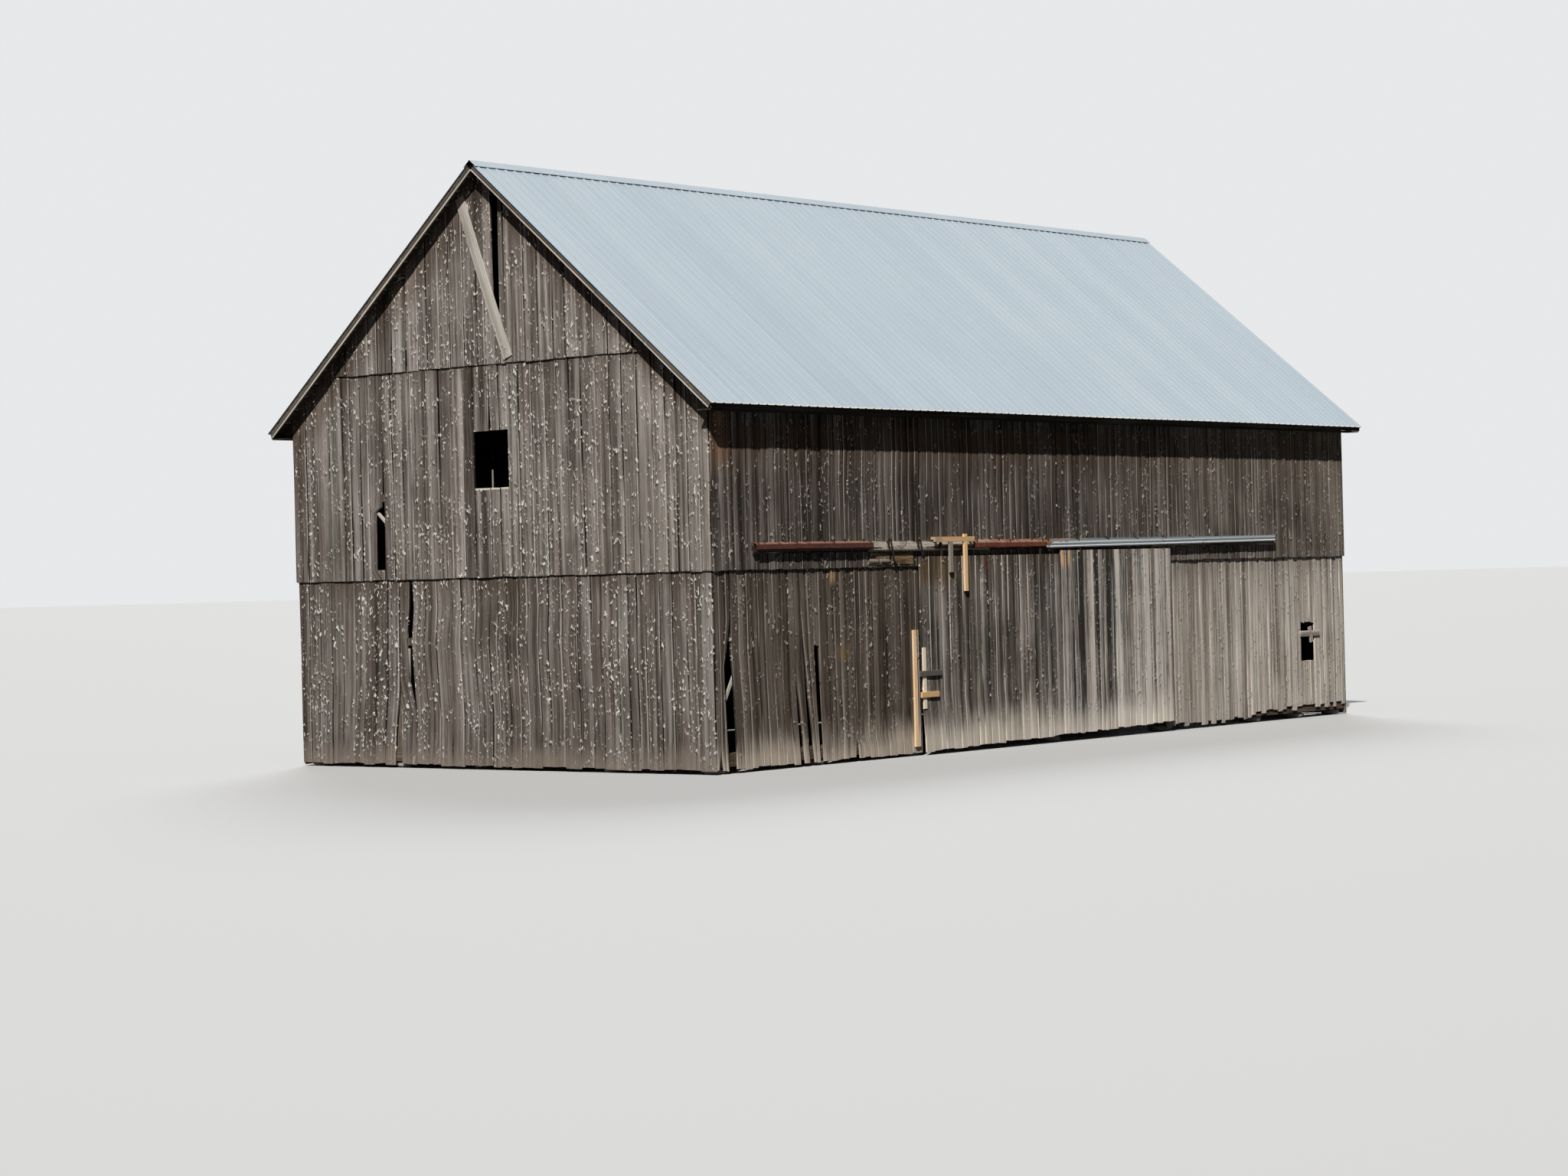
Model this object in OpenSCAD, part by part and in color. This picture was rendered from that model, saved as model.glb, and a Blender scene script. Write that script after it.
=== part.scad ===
// Weathered timber hay barn: a post and beam frame on field stones, clad in upright boards,
// with a ribbed steel roof and two wide doors that hang from a rail and slide apart.
// Millimetres. +Z is up, the doors face -Y, and the gable with the hay window faces -X.
// Distances called "along" run from the corner where those two walls meet.

/* [Building] */
// Length over the lower siding
building_l = 18870; // [18000:10:20000]
// Width over the lower siding
building_w = 9140; // [8800:10:9600]
// Height of the lower edge of the upper siding on all four walls
belt_z = 3070; // [2900:10:3200]
// Height of the lower edge of the siding in the top of each gable
seam_z = 6450; // [6200:10:6700]
// Height of the rafter tops over the face of the side walls
heel_z = 5815; // [5600:5:6000]
// Slope of the roof in degrees, a rise of 10 in 12
roof_angle = 39.8; // [36:0.1:42]

/* [Siding] */
// Thickness of the siding boards
board_t = 25; // [20:1:32]
// How far each course of siding laps down over the one below
course_lap = 80; // [50:5:120]
// Height of the foot of the siding over the ground
siding_foot = 40; // [20:5:100]
// How far the siding in the gable tops stops short of the roof boards
gable_reveal = 2; // [1:1:6]

/* [Frame] */
// Side of the square wall posts
post = 200; // [180:5:220]
// Height of the sill beams and of the tie beams
beam_h = 200; // [180:5:220]
// Height of the field stones that carry the frame
stone_h = 110; // [90:5:160]
// Width of the stones under the walls
wall_stone = 400; // [360:10:420]
// Width of the stones under the inner posts
inner_stone = 380; // [300:10:420]
// Free space between the stones and the siding
stone_clear = 3; // [1:1:20]
// Height of the underside of the tie beams
tie_z = 3000; // [2900:10:3040]
// Height of the underside of the two door headers
header_z = 3050; // [3000:10:3060]
// Side of the square posts that carry the roof inside
inner_post = 150; // [130:5:170]
// Distance of the inner posts from the centre of the barn
inner_post_y = 2300; // [2100:10:2500]
// Distance from the far gable to the nearest frame inside the barn
far_bay = 3170; // [2600:10:3400]
// Depth of the girts that the siding is nailed to
girt_t = 100; // [75:5:120]
// Height of each girt
girt_h = 120; // [100:5:150]
// Height of the middle of the lower girts
lower_girt_z = 2060; // [1900:10:2200]
// Height of the middle of the upper girts, just under the hay window
upper_girt_z = 4420; // [4300:10:4430]
// Length of each leg of the knee braces
brace_leg = 850; // [600:10:950]
// Depth of the knee braces
brace_d = 110; // [80:5:130]
// Thickness of the knee braces
brace_t = 75; // [50:5:100]

/* [Roof] */
// Depth of the rafters, square to the slope
rafter_d = 140; // [120:5:160]
// Thickness of the rafters
rafter_t = 50; // [38:1:60]
// Number of rafter pairs
rafter_pairs = 22; // [18:1:28]
// Overhang of the roof past the gable siding
rake_over = 280; // [200:10:320]
// Overhang of the steel past the side walls
eave_over = 340; // [300:10:400]
// Distance that the steel runs on past the rafter tails
drip = 40; // [20:5:60]
// Number of roof boards on each slope
roof_board_count = 20; // [16:1:22]
// Width of the roof boards
roof_board_w = 250; // [200:5:270]
// Thickness of the roof boards
roof_board_t = 25; // [20:1:30]
// How far the steel and the ridge cap run past the rake boards
sheet_over = 22; // [0:1:40]
// Depth of the rake boards, square to the slope
rake_board_d = 80; // [60:5:140]
// Thickness of the rake boards
rake_board_t = 25; // [20:1:38]
// Height of the face of the boxed eaves
eave_box_h = 90; // [60:5:120]
// Thickness of the boards that box in the eaves
eave_box_t = 20; // [16:1:25]
// Spacing of the ribs in the steel sheets
rib_pitch = 203.2; // [180:0.1:250]
// Height of the ribs
rib_h = 20; // [12:1:25]
// Width of each rib at its foot
rib_foot = 64; // [50:1:80]
// Width of each rib at its crest
rib_crest = 32; // [20:1:40]
// Thickness of the steel sheets and of the ridge cap
sheet_t = 1; // [0.6:0.1:2]
// Length of each wing of the ridge cap
cap_wing = 130; // [100:5:160]

/* [Door track] */
// Distances along the front wall where the rail begins and ends
track_along = [880, 16150]; // [500:10:17500]
// Height of the underside of the board behind the track
track_board_z = 3320; // [3300:5:3340]
// Height of the board behind the track
track_board_h = 160; // [140:5:160]
// Thickness of the board behind the track
track_board_t = 38; // [32:1:45]
// Height of the flat rail
rail_h = 40; // [35:1:50]
// Thickness of the flat rail
rail_t = 6; // [5:0.5:8]
// Height of the top edge of the rail
rail_top_z = 3390; // [3385:1:3400]
// Spacing of the brackets under the hoods
bracket_pitch = 900; // [700:10:1100]
// Distances along the wall of the two brackets that have lost their hood
bare_brackets_along = [4235, 5020]; // [3900:5:5350]
// Radius inside the bend of the bracket straps
bend_r = 12; // [8:1:16]
// Width of the bracket straps
bracket_w = 32; // [25:1:40]
// Thickness of the bracket straps
bracket_t = 5; // [4:0.5:6]
// Distances along the wall that the rusted left hood covers
rust_hood_along = [915, 3825]; // [800:5:5000]
// Distances along the wall that the rusted middle hood covers
middle_hood_along = [6560, 8600]; // [6550:10:8610]
// Distances along the wall that the zinc-coated hood covers
zinc_hood_along = [8620, 16140]; // [8610:10:17500]
// Thickness of the hood steel
hood_t = 2; // [1.5:0.5:3]
// Height of the front of each hood
hood_drop = 112; // [90:1:120]
// Radius of the two rolled beads on the zinc-coated hood
bead_r = 11; // [8:1:13]

/* [Doors] */
// Distances along the front wall of the outer edges of the two doors
doors_along = [5050, 12540]; // [4900:10:13000]
// Distance along the front wall where the doors meet
door_meet = 9060; // [8900:10:9200]
// Gap between the two closed doors
meeting_gap = 10; // [6:1:20]
// Heights of the feet of the left and the right door
door_feet = [40, 110]; // [30:5:130]
// Heights of the tops of the left and the right door
door_tops = [3225, 3285]; // [3180:5:3300]
// Free space between the siding over the doors and the ledges of the doors
door_clear = 25; // [20:1:40]
// Thickness of the ledges and braces on the back of the doors
ledge_t = 25; // [20:1:32]
// Height of the ledges
ledge_h = 150; // [120:5:180]
// Distance from the end of each door to its nearest hanger
hanger_inset = 600; // [400:10:800]
// Radius of the rollers at the bottom of their groove
roller_r = 30; // [25:1:32]
// Depth of the roller flanges beyond the groove
roller_flange = 6; // [4:1:8]
// Width of the hanger straps
strap_w = 50; // [40:1:60]
// Thickness of the hanger straps
strap_t = 6; // [5:0.5:8]
// Height of the feet of the hanger straps
strap_foot = 2900; // [2800:10:3000]

/* [Openings] */
// Distances from the middle of the gable to the two sides of the hay window
hay_window_across = [-420, 330]; // [-900:10:900]
// Heights of the foot and the head of the hay window
hay_window_z = [4490, 5400]; // [4300:10:5800]
// Distance from the far gable to the nearer side of the stable window
stable_window_end = 1170; // [600:10:2200]
// Width of the stable window
stable_window_w = 490; // [400:10:600]
// Heights of the foot and the head of the stable window
stable_window_z = [1090, 1780]; // [600:10:1950]
// Width of the broken slat in the stable window
slat_w = 115; // [80:5:140]
// Width of the slivers of board that are left behind three of the gaps
sliver_w = 60; // [50:5:90]

/* [Nailed-on lumber] */
// Face width of the sawn lumber used for repairs
stud_w = 89; // [80:1:95]
// Thickness of the sawn lumber used for repairs
stud_t = 38; // [32:1:45]
// Distances along the front wall of the two ends of the lumber over the bare track
patch_along = [5420, 6510]; // [5150:10:6540]
// Height of the lumber over the bare track
patch_rail_h = 80; // [60:5:89]
// Distance along the front wall and height of the foot of the grey hanging piece
patch_grey = [5815, 2960]; // [2500:5:6700]
// Distance along the front wall and height of the foot of the pale hanging piece
patch_pale = [6215, 2645]; // [2500:5:6700]
// Thickness of the upright of the door pull, which fits between its arms
pull_t = 19; // [15:1:38]
// Heights of the foot and the head of the upright of the door pull
pull_z = [760, 1750]; // [600:10:1900]
// Heights of the two arms of the door pull
pull_arms_z = [1330, 985]; // [900:10:1500]
// Lengths of the two arms inside the edge of the door
pull_arms_in = [480, 400]; // [200:10:700]
// Lengths of the two arms outside the edge of the door
pull_arms_out = [90, 60]; // [20:5:120]
// Width of the strip at the closing edge of the left door
jamb_strip_w = 140; // [89:1:150]
// Heights of the foot and the head of that strip
jamb_strip_z = [150, 2040]; // [100:10:2600]

/* [Hidden] */

half_l = building_l / 2;
half_w = building_w / 2;
roof_l = building_l + 2 * rake_over;

// A distance along the front wall, from the near corner, becomes a place in the model
function x_at(along) = along - half_l;
function on_front(points) = [for (p = points) [x_at(p[0]), p[1]]];

// The roof planes: the tops and the undersides of the rafters at a distance y from the centre
rafter_drop = rafter_d / cos(roof_angle);
function rafter_top(y) = heel_z + (half_w - abs(y)) * tan(roof_angle);
function rafter_under(y) = rafter_top(y) - rafter_drop;
ridge_z = rafter_top(0);
tail_y = half_w + eave_over - drip;
slope_l = tail_y / cos(roof_angle);
steel_l = roof_l + 2 * sheet_over;
eave_box_foot = rafter_top(tail_y) - eave_box_h;
sheet_end = (half_w + eave_over - (roof_board_t + sheet_t) * sin(roof_angle)) / cos(roof_angle);
ridge_gap = 15;
// Clearance between pieces that seat on a slope or in a bend
seat = 0.2;

// The frames across the barn, with a frame against each gable
frame_x = [-half_l + board_t + post / 2, x_at(doors_along[0]), x_at(door_meet), x_at(doors_along[1]),
           half_l - far_bay, half_l - board_t - post / 2];
last_frame = len(frame_x) - 1;
middle_frame = 2;
post_face = half_w - board_t;
sill_top = stone_h + beam_h;
tie_top = tie_z + beam_h;
inner_face = post_face - post;

// The plates under the rafters: a bevel on the top is the seat of the rafters
seat_run = 80;
plate_h = 160;
plate_foot = rafter_under(half_w) - plate_h;
purlin_outer = inner_post_y + inner_post / 2;
purlin_h = 200;
purlin_foot = rafter_under(purlin_outer) - purlin_h;
upper_wall_top = rafter_under(half_w + board_t) - 2;

// How far pieces stand off the face of the lower siding, at the front
upper_face = board_t;
ledge_back = upper_face + door_clear;
leaf_back = ledge_back + ledge_t;
leaf_face = leaf_back + board_t;
rail_back = track_board_t + upper_face + 21;
rail_mid = rail_back + rail_t / 2;
groove_w = rail_t + 2;
flange_w = 6;
strap_gap = 3;
roller_lift = 0.4;
roller_z = rail_top_z + roller_r + roller_lift;
// The inside of the bracket straps, then the outside of them, where the hoods seat
hanger_clear = 10;
hood_front = leaf_face + strap_t + hanger_clear + bracket_t;
bracket_top = roller_z + roller_r + roller_flange + bracket_t + 29;
patch_back = leaf_face + strap_t + hanger_clear + 2;
leaf_span = [[x_at(doors_along[0]), x_at(door_meet) - meeting_gap / 2],
             [x_at(door_meet) + meeting_gap / 2, x_at(doors_along[1])]];

module slab_x(x0, x1, y0, y1, z0, z1) {
    translate([min(x0, x1), min(y0, y1), min(z0, z1)])
        cube([abs(x1 - x0), abs(y1 - y0), abs(z1 - z0)]);
}

// A piece against the front wall, between two distances out from the lower siding
module front_slab(x0, x1, out0, out1, z0, z1) {
    slab_x(x0, x1, -half_w - out1, -half_w - out0, z0, z1);
}

// An upright panel along X that fills an outline of [x, z] points, between y0 and y0 + t
module panel_along_x(t, y0) {
    translate([0, y0 + t, 0]) rotate([90, 0, 0]) linear_extrude(height = t) children();
}

// An upright panel along Y that fills an outline of [y, z] points, between x0 and x0 + t
module panel_along_y(t, x0) {
    translate([x0, 0, 0]) rotate([90, 0, 90]) linear_extrude(height = t) children();
}

// Cuts that broken and missing boards leave in the siding, as [along, height] outlines
corner_gap = [[240, 1850], [310, 1850], [470, 0], [300, 0]];
narrow_gap = [[1930, 1560], [1955, 1560], [2090, 0], [2010, 0]];
split_gap = [[2110, 1850], [2130, 1850], [2340, 0], [2240, 0]];
missing_board = [[2400, 1860], [2495, 1860], [2560, 0], [2500, 0]];
// The same for the near gable, as [distance from the middle, height]
gable_slot = [[2445, belt_z + 170], [2645, belt_z + 170], [2630, belt_z + 1210], [2550, belt_z + 1260],
              [2525, belt_z + 1990], [2485, belt_z + 1990]];
leaning_gap = [[1860, belt_z - 40], [1910, belt_z - 40], [2010, 2040], [2130, 1300], [2345, 0], [2230, 0],
               [2050, 1300], [1940, 2040]];
peak_slot = [[-305, seam_z + 510], [-150, seam_z + 510], [-160, ridge_z], [-315, ridge_z]];

// Field stones: an uneven outline seen from above, cut to uneven outlines seen from two sides
stone_reach = 0.52;

module field_stone(x, y, size, seed) {
    turn = rands(0, 360, 1, seed)[0];
    reach = rands(0.44, stone_reach, 8, seed + 1);
    side = rands(0.34, 0.46, 4, seed + 2);
    translate([x, y, 0]) rotate([0, 0, turn]) intersection() {
        linear_extrude(height = stone_h)
            polygon([for (k = [0 : 7]) size * reach[k] * [cos(45 * k), sin(45 * k)]]);
        rotate([90, 0, 0]) linear_extrude(height = 2 * size, center = true)
            polygon([[-size * side[0], 0], [size * side[1], 0], [size * 0.55, stone_h * 0.45],
                     [size * side[2], stone_h], [-size * side[3], stone_h], [-size * 0.55, stone_h * 0.5]]);
        rotate([90, 0, 90]) linear_extrude(height = 2 * size, center = true)
            polygon([[-size * side[2], 0], [size * side[3], 0], [size * 0.54, stone_h * 0.55],
                     [size * side[0], stone_h], [-size * side[1], stone_h], [-size * 0.54, stone_h * 0.4]]);
    }
}

// The stones lie inside the siding, which runs down in front of them
function stone_limit(half, size) = half - board_t - stone_clear - stone_reach * size;
function stone_x(i, size) = let (limit = stone_limit(half_l, size)) max(-limit, min(limit, frame_x[i]));

module foundation_stones() {
    color([0.62, 0.58, 0.52]) {
        for (i = [0 : last_frame], side = [-1, 1]) {
            field_stone(stone_x(i, wall_stone), side * stone_limit(half_w, wall_stone), wall_stone,
                        10 * i + 3 * side + 7);
            field_stone(stone_x(i, inner_stone), side * inner_post_y, inner_stone, 10 * i + 3 * side + 81);
        }
        for (i = [0, last_frame - 1], side = [-1, 1])
            field_stone((frame_x[i] + frame_x[i + 1]) / 2, side * stone_limit(half_w, wall_stone), wall_stone,
                        10 * i + side + 150);
    }
}

// The sills stop at the doorways, so that a wagon can pass
module side_sills() {
    color([0.36, 0.31, 0.27]) {
        front_slab(-half_l + board_t, x_at(doors_along[0]) + post / 2, -board_t - post, -board_t,
                   stone_h, sill_top);
        front_slab(x_at(doors_along[1]) - post / 2, half_l - board_t, -board_t - post, -board_t,
                   stone_h, sill_top);
        slab_x(-half_l + board_t, half_l - board_t, inner_face, post_face, stone_h, sill_top);
    }
}

module gable_sills() {
    color([0.36, 0.31, 0.27]) for (x = [frame_x[0], frame_x[last_frame]])
        slab_x(x - post / 2, x + post / 2, -inner_face, inner_face, stone_h, sill_top);
}

// The front post between the two doorways stands on its own stone, as no sill crosses there
module wall_posts() {
    color([0.40, 0.35, 0.30]) for (i = [0 : last_frame], side = [-1, 1])
        slab_x(frame_x[i] - post / 2, frame_x[i] + post / 2, side * inner_face, side * post_face,
               i == middle_frame && side < 0 ? stone_h : sill_top, plate_foot);
}

// Posts under each tie beam, and the posts that stand on it and carry the purlins
module inner_posts() {
    color([0.42, 0.37, 0.32]) for (i = [0 : last_frame], side = [-1, 1])
        for (span = [[i == 0 || i == last_frame ? sill_top : stone_h, tie_z], [tie_top, purlin_foot]])
            slab_x(frame_x[i] - inner_post / 2, frame_x[i] + inner_post / 2,
                   side * inner_post_y - inner_post / 2, side * inner_post_y + inner_post / 2,
                   span[0], span[1]);
}

module tie_beams() {
    color([0.38, 0.33, 0.28]) for (x = frame_x)
        slab_x(x - post / 2, x + post / 2, -inner_face, inner_face, tie_z, tie_top);
}

// A plate whose outer edge is at y and whose top is bevelled to the underside of the rafters
module plate(y, width, foot) {
    outer = rafter_under(y) - seat;
    panel_along_y(building_l, -half_l)
        polygon([[y - width, foot], [y, foot], [y, outer], [y - seat_run, outer + seat_run * tan(roof_angle)],
                 [y - width, outer + seat_run * tan(roof_angle)]]);
}

module plates() {
    color([0.38, 0.33, 0.28]) for (side = [0, 1]) mirror([0, side, 0]) {
        plate(half_w, post, plate_foot);
        plate(purlin_outer, inner_post, purlin_foot);
    }
}

// The outline of a knee brace that leans from [0, -brace_leg] up to [brace_leg, 0]
module brace_outline() {
    cut = brace_d * sqrt(2);
    polygon([[0, -brace_leg], [0, -brace_leg + cut], [brace_leg - cut, 0], [brace_leg, 0]]);
}

// Braces across the barn from the wall posts up to the tie beams, and along it up to the plates
module knee_braces() {
    brace_y = post_face - post / 2 - brace_t / 2;
    color([0.44, 0.39, 0.33]) for (side = [0, 1]) mirror([0, side, 0])
        for (i = [0 : last_frame]) {
            panel_along_y(brace_t, frame_x[i] - brace_t / 2) translate([-inner_face, tie_z]) brace_outline();
            if (i < last_frame)
                panel_along_x(brace_t, brace_y) translate([frame_x[i] + post / 2, plate_foot])
                    brace_outline();
            if (i > 0)
                panel_along_x(brace_t, brace_y) translate([frame_x[i] - post / 2, plate_foot])
                    mirror([1, 0, 0]) brace_outline();
        }
}

// A row of girts between the posts of one long wall; out is how far they stand past the posts
module girt_row(side, z, out, bays) {
    for (i = bays)
        slab_x(frame_x[i] + post / 2, frame_x[i + 1] - post / 2,
               side * (post_face + out - girt_t), side * (post_face + out), z - girt_h / 2, z + girt_h / 2);
}

// Three rows of girts on the long walls; the lower two of the front wall leave the doorways free
module side_girts() {
    belt_girt_z = belt_z + course_lap / 2 - girt_h / 2;
    bays = [0 : last_frame - 1];
    for (z = [lower_girt_z, belt_girt_z]) {
        girt_row(-1, z, 0, [0, 3, 4]);
        girt_row(1, z, 0, bays);
    }
    for (side = [-1, 1]) girt_row(side, upper_girt_z, board_t, bays);
}

// Girts across both gables, in three lengths between the corner posts and the inner posts
module gable_girts() {
    seam_girt_z = seam_z + course_lap / 2 - girt_h / 2;
    inner_edge = inner_post_y - inner_post / 2;
    outer_edge = inner_post_y + inner_post / 2;
    roof_edge = half_w - (seam_girt_z + girt_h / 2 - rafter_under(half_w)) / tan(roof_angle) - 20;
    for (gable = [0, 1]) mirror([gable, 0, 0]) {
        girt_x = -half_l + board_t;
        rows = [[lower_girt_z, 0, inner_face], [upper_girt_z, board_t, inner_face],
                [seam_girt_z, board_t, roof_edge]];
        for (row = rows) {
            x = girt_x - row[1];
            slab_x(x, x + girt_t, -inner_edge, inner_edge, row[0] - girt_h / 2, row[0] + girt_h / 2);
            for (side = [-1, 1])
                slab_x(x, x + girt_t, side * outer_edge, side * row[2],
                       row[0] - girt_h / 2, row[0] + girt_h / 2);
        }
    }
}

module wall_girts() {
    color([0.42, 0.37, 0.31]) {
        side_girts();
        gable_girts();
    }
}

module door_headers() {
    color([0.38, 0.33, 0.28]) for (i = [1, 2])
        slab_x(frame_x[i] + post / 2, frame_x[i + 1] - post / 2, -half_w, -half_w + post,
               header_z, header_z + beam_h);
}

// The tails are cut level and plumb for the boards that box in the eaves
module rafters() {
    step = (building_l - rafter_t) / (rafter_pairs - 1);
    level = eave_box_foot + eave_box_t + seat;
    level_y = half_w + (heel_z - rafter_drop - level) / tan(roof_angle);
    end_y = tail_y - eave_box_t - seat;
    color([0.45, 0.40, 0.35]) for (k = [0 : rafter_pairs - 1])
        panel_along_y(rafter_t, -half_l + k * step)
            polygon([[0, ridge_z], [-end_y, rafter_top(end_y)], [-end_y, level], [-level_y, level],
                     [0, ridge_z - rafter_drop]]);
}

// Children are laid on the front slope: X along the ridge, Y down the slope, Z off the rafters
module on_slope() {
    translate([0, 0, ridge_z]) rotate([roof_angle, 0, 0]) mirror([0, 1, 0]) children();
}

module roof_boards() {
    step = (slope_l - roof_board_w) / (roof_board_count - 1);
    color([0.46, 0.42, 0.37]) on_slope() for (k = [0 : roof_board_count - 1])
        translate([-roof_l / 2, k * step, seat]) cube([roof_l, roof_board_w, roof_board_t]);
}

// The steel: a flat pan with a trapezoid rib at every pitch, and a rib near each gable edge
rib_count = floor((roof_l - rib_foot) / rib_pitch) + 1;
first_rib = -(rib_count - 1) * rib_pitch / 2;
rib_x = [for (k = [0 : rib_count - 1]) first_rib + k * rib_pitch];

function rib_points(x, inset, z) = [
    [x - rib_foot / 2 + inset, z], [x - rib_crest / 2 + inset / 2, z + rib_h],
    [x + rib_crest / 2 - inset / 2, z + rib_h], [x + rib_foot / 2 - inset, z]
];

module roof_sheets() {
    top = [for (x = rib_x) each rib_points(x, 0, sheet_t)];
    under = [for (k = [rib_count - 1 : -1 : 0], j = [3 : -1 : 0]) rib_points(rib_x[k], sheet_t, 0)[j]];
    edge = steel_l / 2;
    color([0.74, 0.78, 0.80]) on_slope() translate([0, sheet_end, roof_board_t + 2 * seat]) rotate([90, 0, 0])
        linear_extrude(height = sheet_end - ridge_gap)
            polygon(concat([[-edge, 0], [-edge, sheet_t]], top, [[edge, sheet_t], [edge, 0]], under));
}

module ridge_cap() {
    lift = roof_board_t + sheet_t + rib_h + 3 * seat;
    // A point of the cap at a distance s down the slope and a height n off the rafters
    function cap_at(side, s, n) =
        [side * (s * cos(roof_angle) + n * sin(roof_angle)),
         ridge_z - s * sin(roof_angle) + n * cos(roof_angle)];
    apex_in = ridge_z + lift / cos(roof_angle);
    apex_out = ridge_z + (lift + sheet_t) / cos(roof_angle);
    color([0.72, 0.76, 0.78]) panel_along_y(steel_l, -steel_l / 2)
        polygon([cap_at(-1, cap_wing, lift), [0, apex_in], cap_at(1, cap_wing, lift),
                 cap_at(1, cap_wing, lift + sheet_t), [0, apex_out], cap_at(-1, cap_wing, lift + sheet_t)]);
}

// Boards that close the ends of the roof; they meet at the peak with a hairline joint
module rake_pair() {
    drop = rake_board_d / cos(roof_angle);
    joint = 1;
    for (end = [0, 1]) mirror([end, 0, 0])
        panel_along_y(rake_board_t, -roof_l / 2)
            polygon([[-joint, rafter_top(joint)], [-tail_y, rafter_top(tail_y)],
                     [-tail_y + rake_board_d * sin(roof_angle),
                      rafter_top(tail_y) - rake_board_d * cos(roof_angle)],
                     [-joint, rafter_top(joint) - drop]]);
}

// The boxed eave between them: a face board on the rafter tails and a level board back to the wall
module eave_box() {
    let_in = 1;
    length = roof_l - 2 * rake_board_t + 2 * let_in;
    wall_y = half_w + board_t + seat;
    panel_along_y(length, -length / 2)
        polygon([[-tail_y, rafter_top(tail_y)], [-tail_y, eave_box_foot], [-wall_y, eave_box_foot],
                 [-wall_y, eave_box_foot + eave_box_t], [-tail_y + eave_box_t, eave_box_foot + eave_box_t],
                 [-tail_y + eave_box_t, rafter_top(tail_y)]]);
}

module rake_boards() {
    color([0.66, 0.62, 0.56]) for (side = [0, 1]) mirror([0, side, 0]) union() {
        rake_pair();
        eave_box();
    }
}

// The lower siding of the front wall, on both sides of the doorways
module front_wall_left() {
    color([0.40, 0.37, 0.34]) panel_along_x(board_t, -half_w) difference() {
        translate([-half_l + board_t, siding_foot])
            square([doors_along[0] + post / 2 - board_t, belt_z + course_lap - siding_foot]);
        for (gap = [corner_gap, narrow_gap, split_gap, missing_board]) polygon(on_front(gap));
    }
}

stable_window_x = half_l - stable_window_end - stable_window_w;

module front_wall_right() {
    color([0.58, 0.54, 0.49]) panel_along_x(board_t, -half_w) difference() {
        translate([x_at(doors_along[1]) - post / 2, siding_foot])
            square([building_l - doors_along[1] + post / 2 - board_t, belt_z + course_lap - siding_foot]);
        translate([stable_window_x, stable_window_z[0]])
            square([stable_window_w, stable_window_z[1] - stable_window_z[0]]);
    }
}

module front_wall_upper() {
    color([0.38, 0.34, 0.31])
        front_slab(-half_l, half_l, 0, board_t, belt_z, upper_wall_top);
}

module back_wall_lower() {
    color([0.45, 0.42, 0.39])
        slab_x(-half_l + board_t, half_l - board_t, post_face, half_w, siding_foot, belt_z + course_lap);
}

module back_wall_upper() {
    color([0.42, 0.39, 0.36])
        slab_x(-half_l, half_l, half_w, half_w + board_t, belt_z, upper_wall_top);
}

// The three courses of siding on a gable, in the gable's own [y, z] plane
module gable_lower_outline() {
    translate([-half_w, siding_foot]) square([building_w, belt_z + course_lap - siding_foot]);
}

module gable_middle_outline() {
    half = half_w + board_t;
    head = seam_z + course_lap;
    shoulder = half_w - (head - heel_z) / tan(roof_angle);
    drop = gable_reveal / cos(roof_angle);
    polygon([[-half, belt_z], [half, belt_z], [half, rafter_top(half) - drop], [shoulder, head - drop],
             [-shoulder, head - drop], [-half, rafter_top(half) - drop]]);
}

module gable_top_outline() {
    drop = gable_reveal / cos(roof_angle);
    foot = half_w - (seam_z - heel_z) / tan(roof_angle) - drop / tan(roof_angle);
    polygon([[-foot, seam_z], [foot, seam_z], [0, ridge_z - drop]]);
}

module hay_window() {
    translate([hay_window_across[0], hay_window_z[0]])
        square([hay_window_across[1] - hay_window_across[0], hay_window_z[1] - hay_window_z[0]]);
}

module left_gable_lower() {
    color([0.52, 0.49, 0.46]) panel_along_y(board_t, -half_l) difference() {
        gable_lower_outline();
        polygon(leaning_gap);
    }
}

module left_gable_middle() {
    color([0.54, 0.51, 0.47]) panel_along_y(board_t, -half_l - board_t) difference() {
        gable_middle_outline();
        hay_window();
        polygon(gable_slot);
    }
}

module left_gable_top() {
    color([0.55, 0.52, 0.49]) panel_along_y(board_t, -half_l - 2 * board_t) difference() {
        gable_top_outline();
        polygon(peak_slot);
    }
}

module right_gable_lower() {
    color([0.50, 0.47, 0.43]) panel_along_y(board_t, half_l - board_t) gable_lower_outline();
}

module right_gable_middle() {
    color([0.50, 0.47, 0.43]) panel_along_y(board_t, half_l) difference() {
        gable_middle_outline();
        hay_window();
    }
}

module right_gable_top() {
    color([0.50, 0.47, 0.43]) panel_along_y(board_t, half_l + board_t) gable_top_outline();
}

// A board that has come loose at the peak and leans across the slot
loose_board_foot = [-520, seam_z + 50];
loose_board_w = 205;
loose_board_l = 0.893 * (ridge_z - seam_z);
loose_board_lean = 20.7;

module loose_gable_board() {
    color([0.64, 0.61, 0.57]) panel_along_y(board_t, -half_l - 3 * board_t)
        translate(loose_board_foot) rotate(-loose_board_lean)
            translate([-loose_board_w / 2, 0]) square([loose_board_w, loose_board_l]);
}

// A broken board seen face on, from [across, height] of its lower end, turned by an angle from level
module slat_outline(place, length, width, angle) {
    translate(place) rotate(angle) square([length, width]);
}

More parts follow.
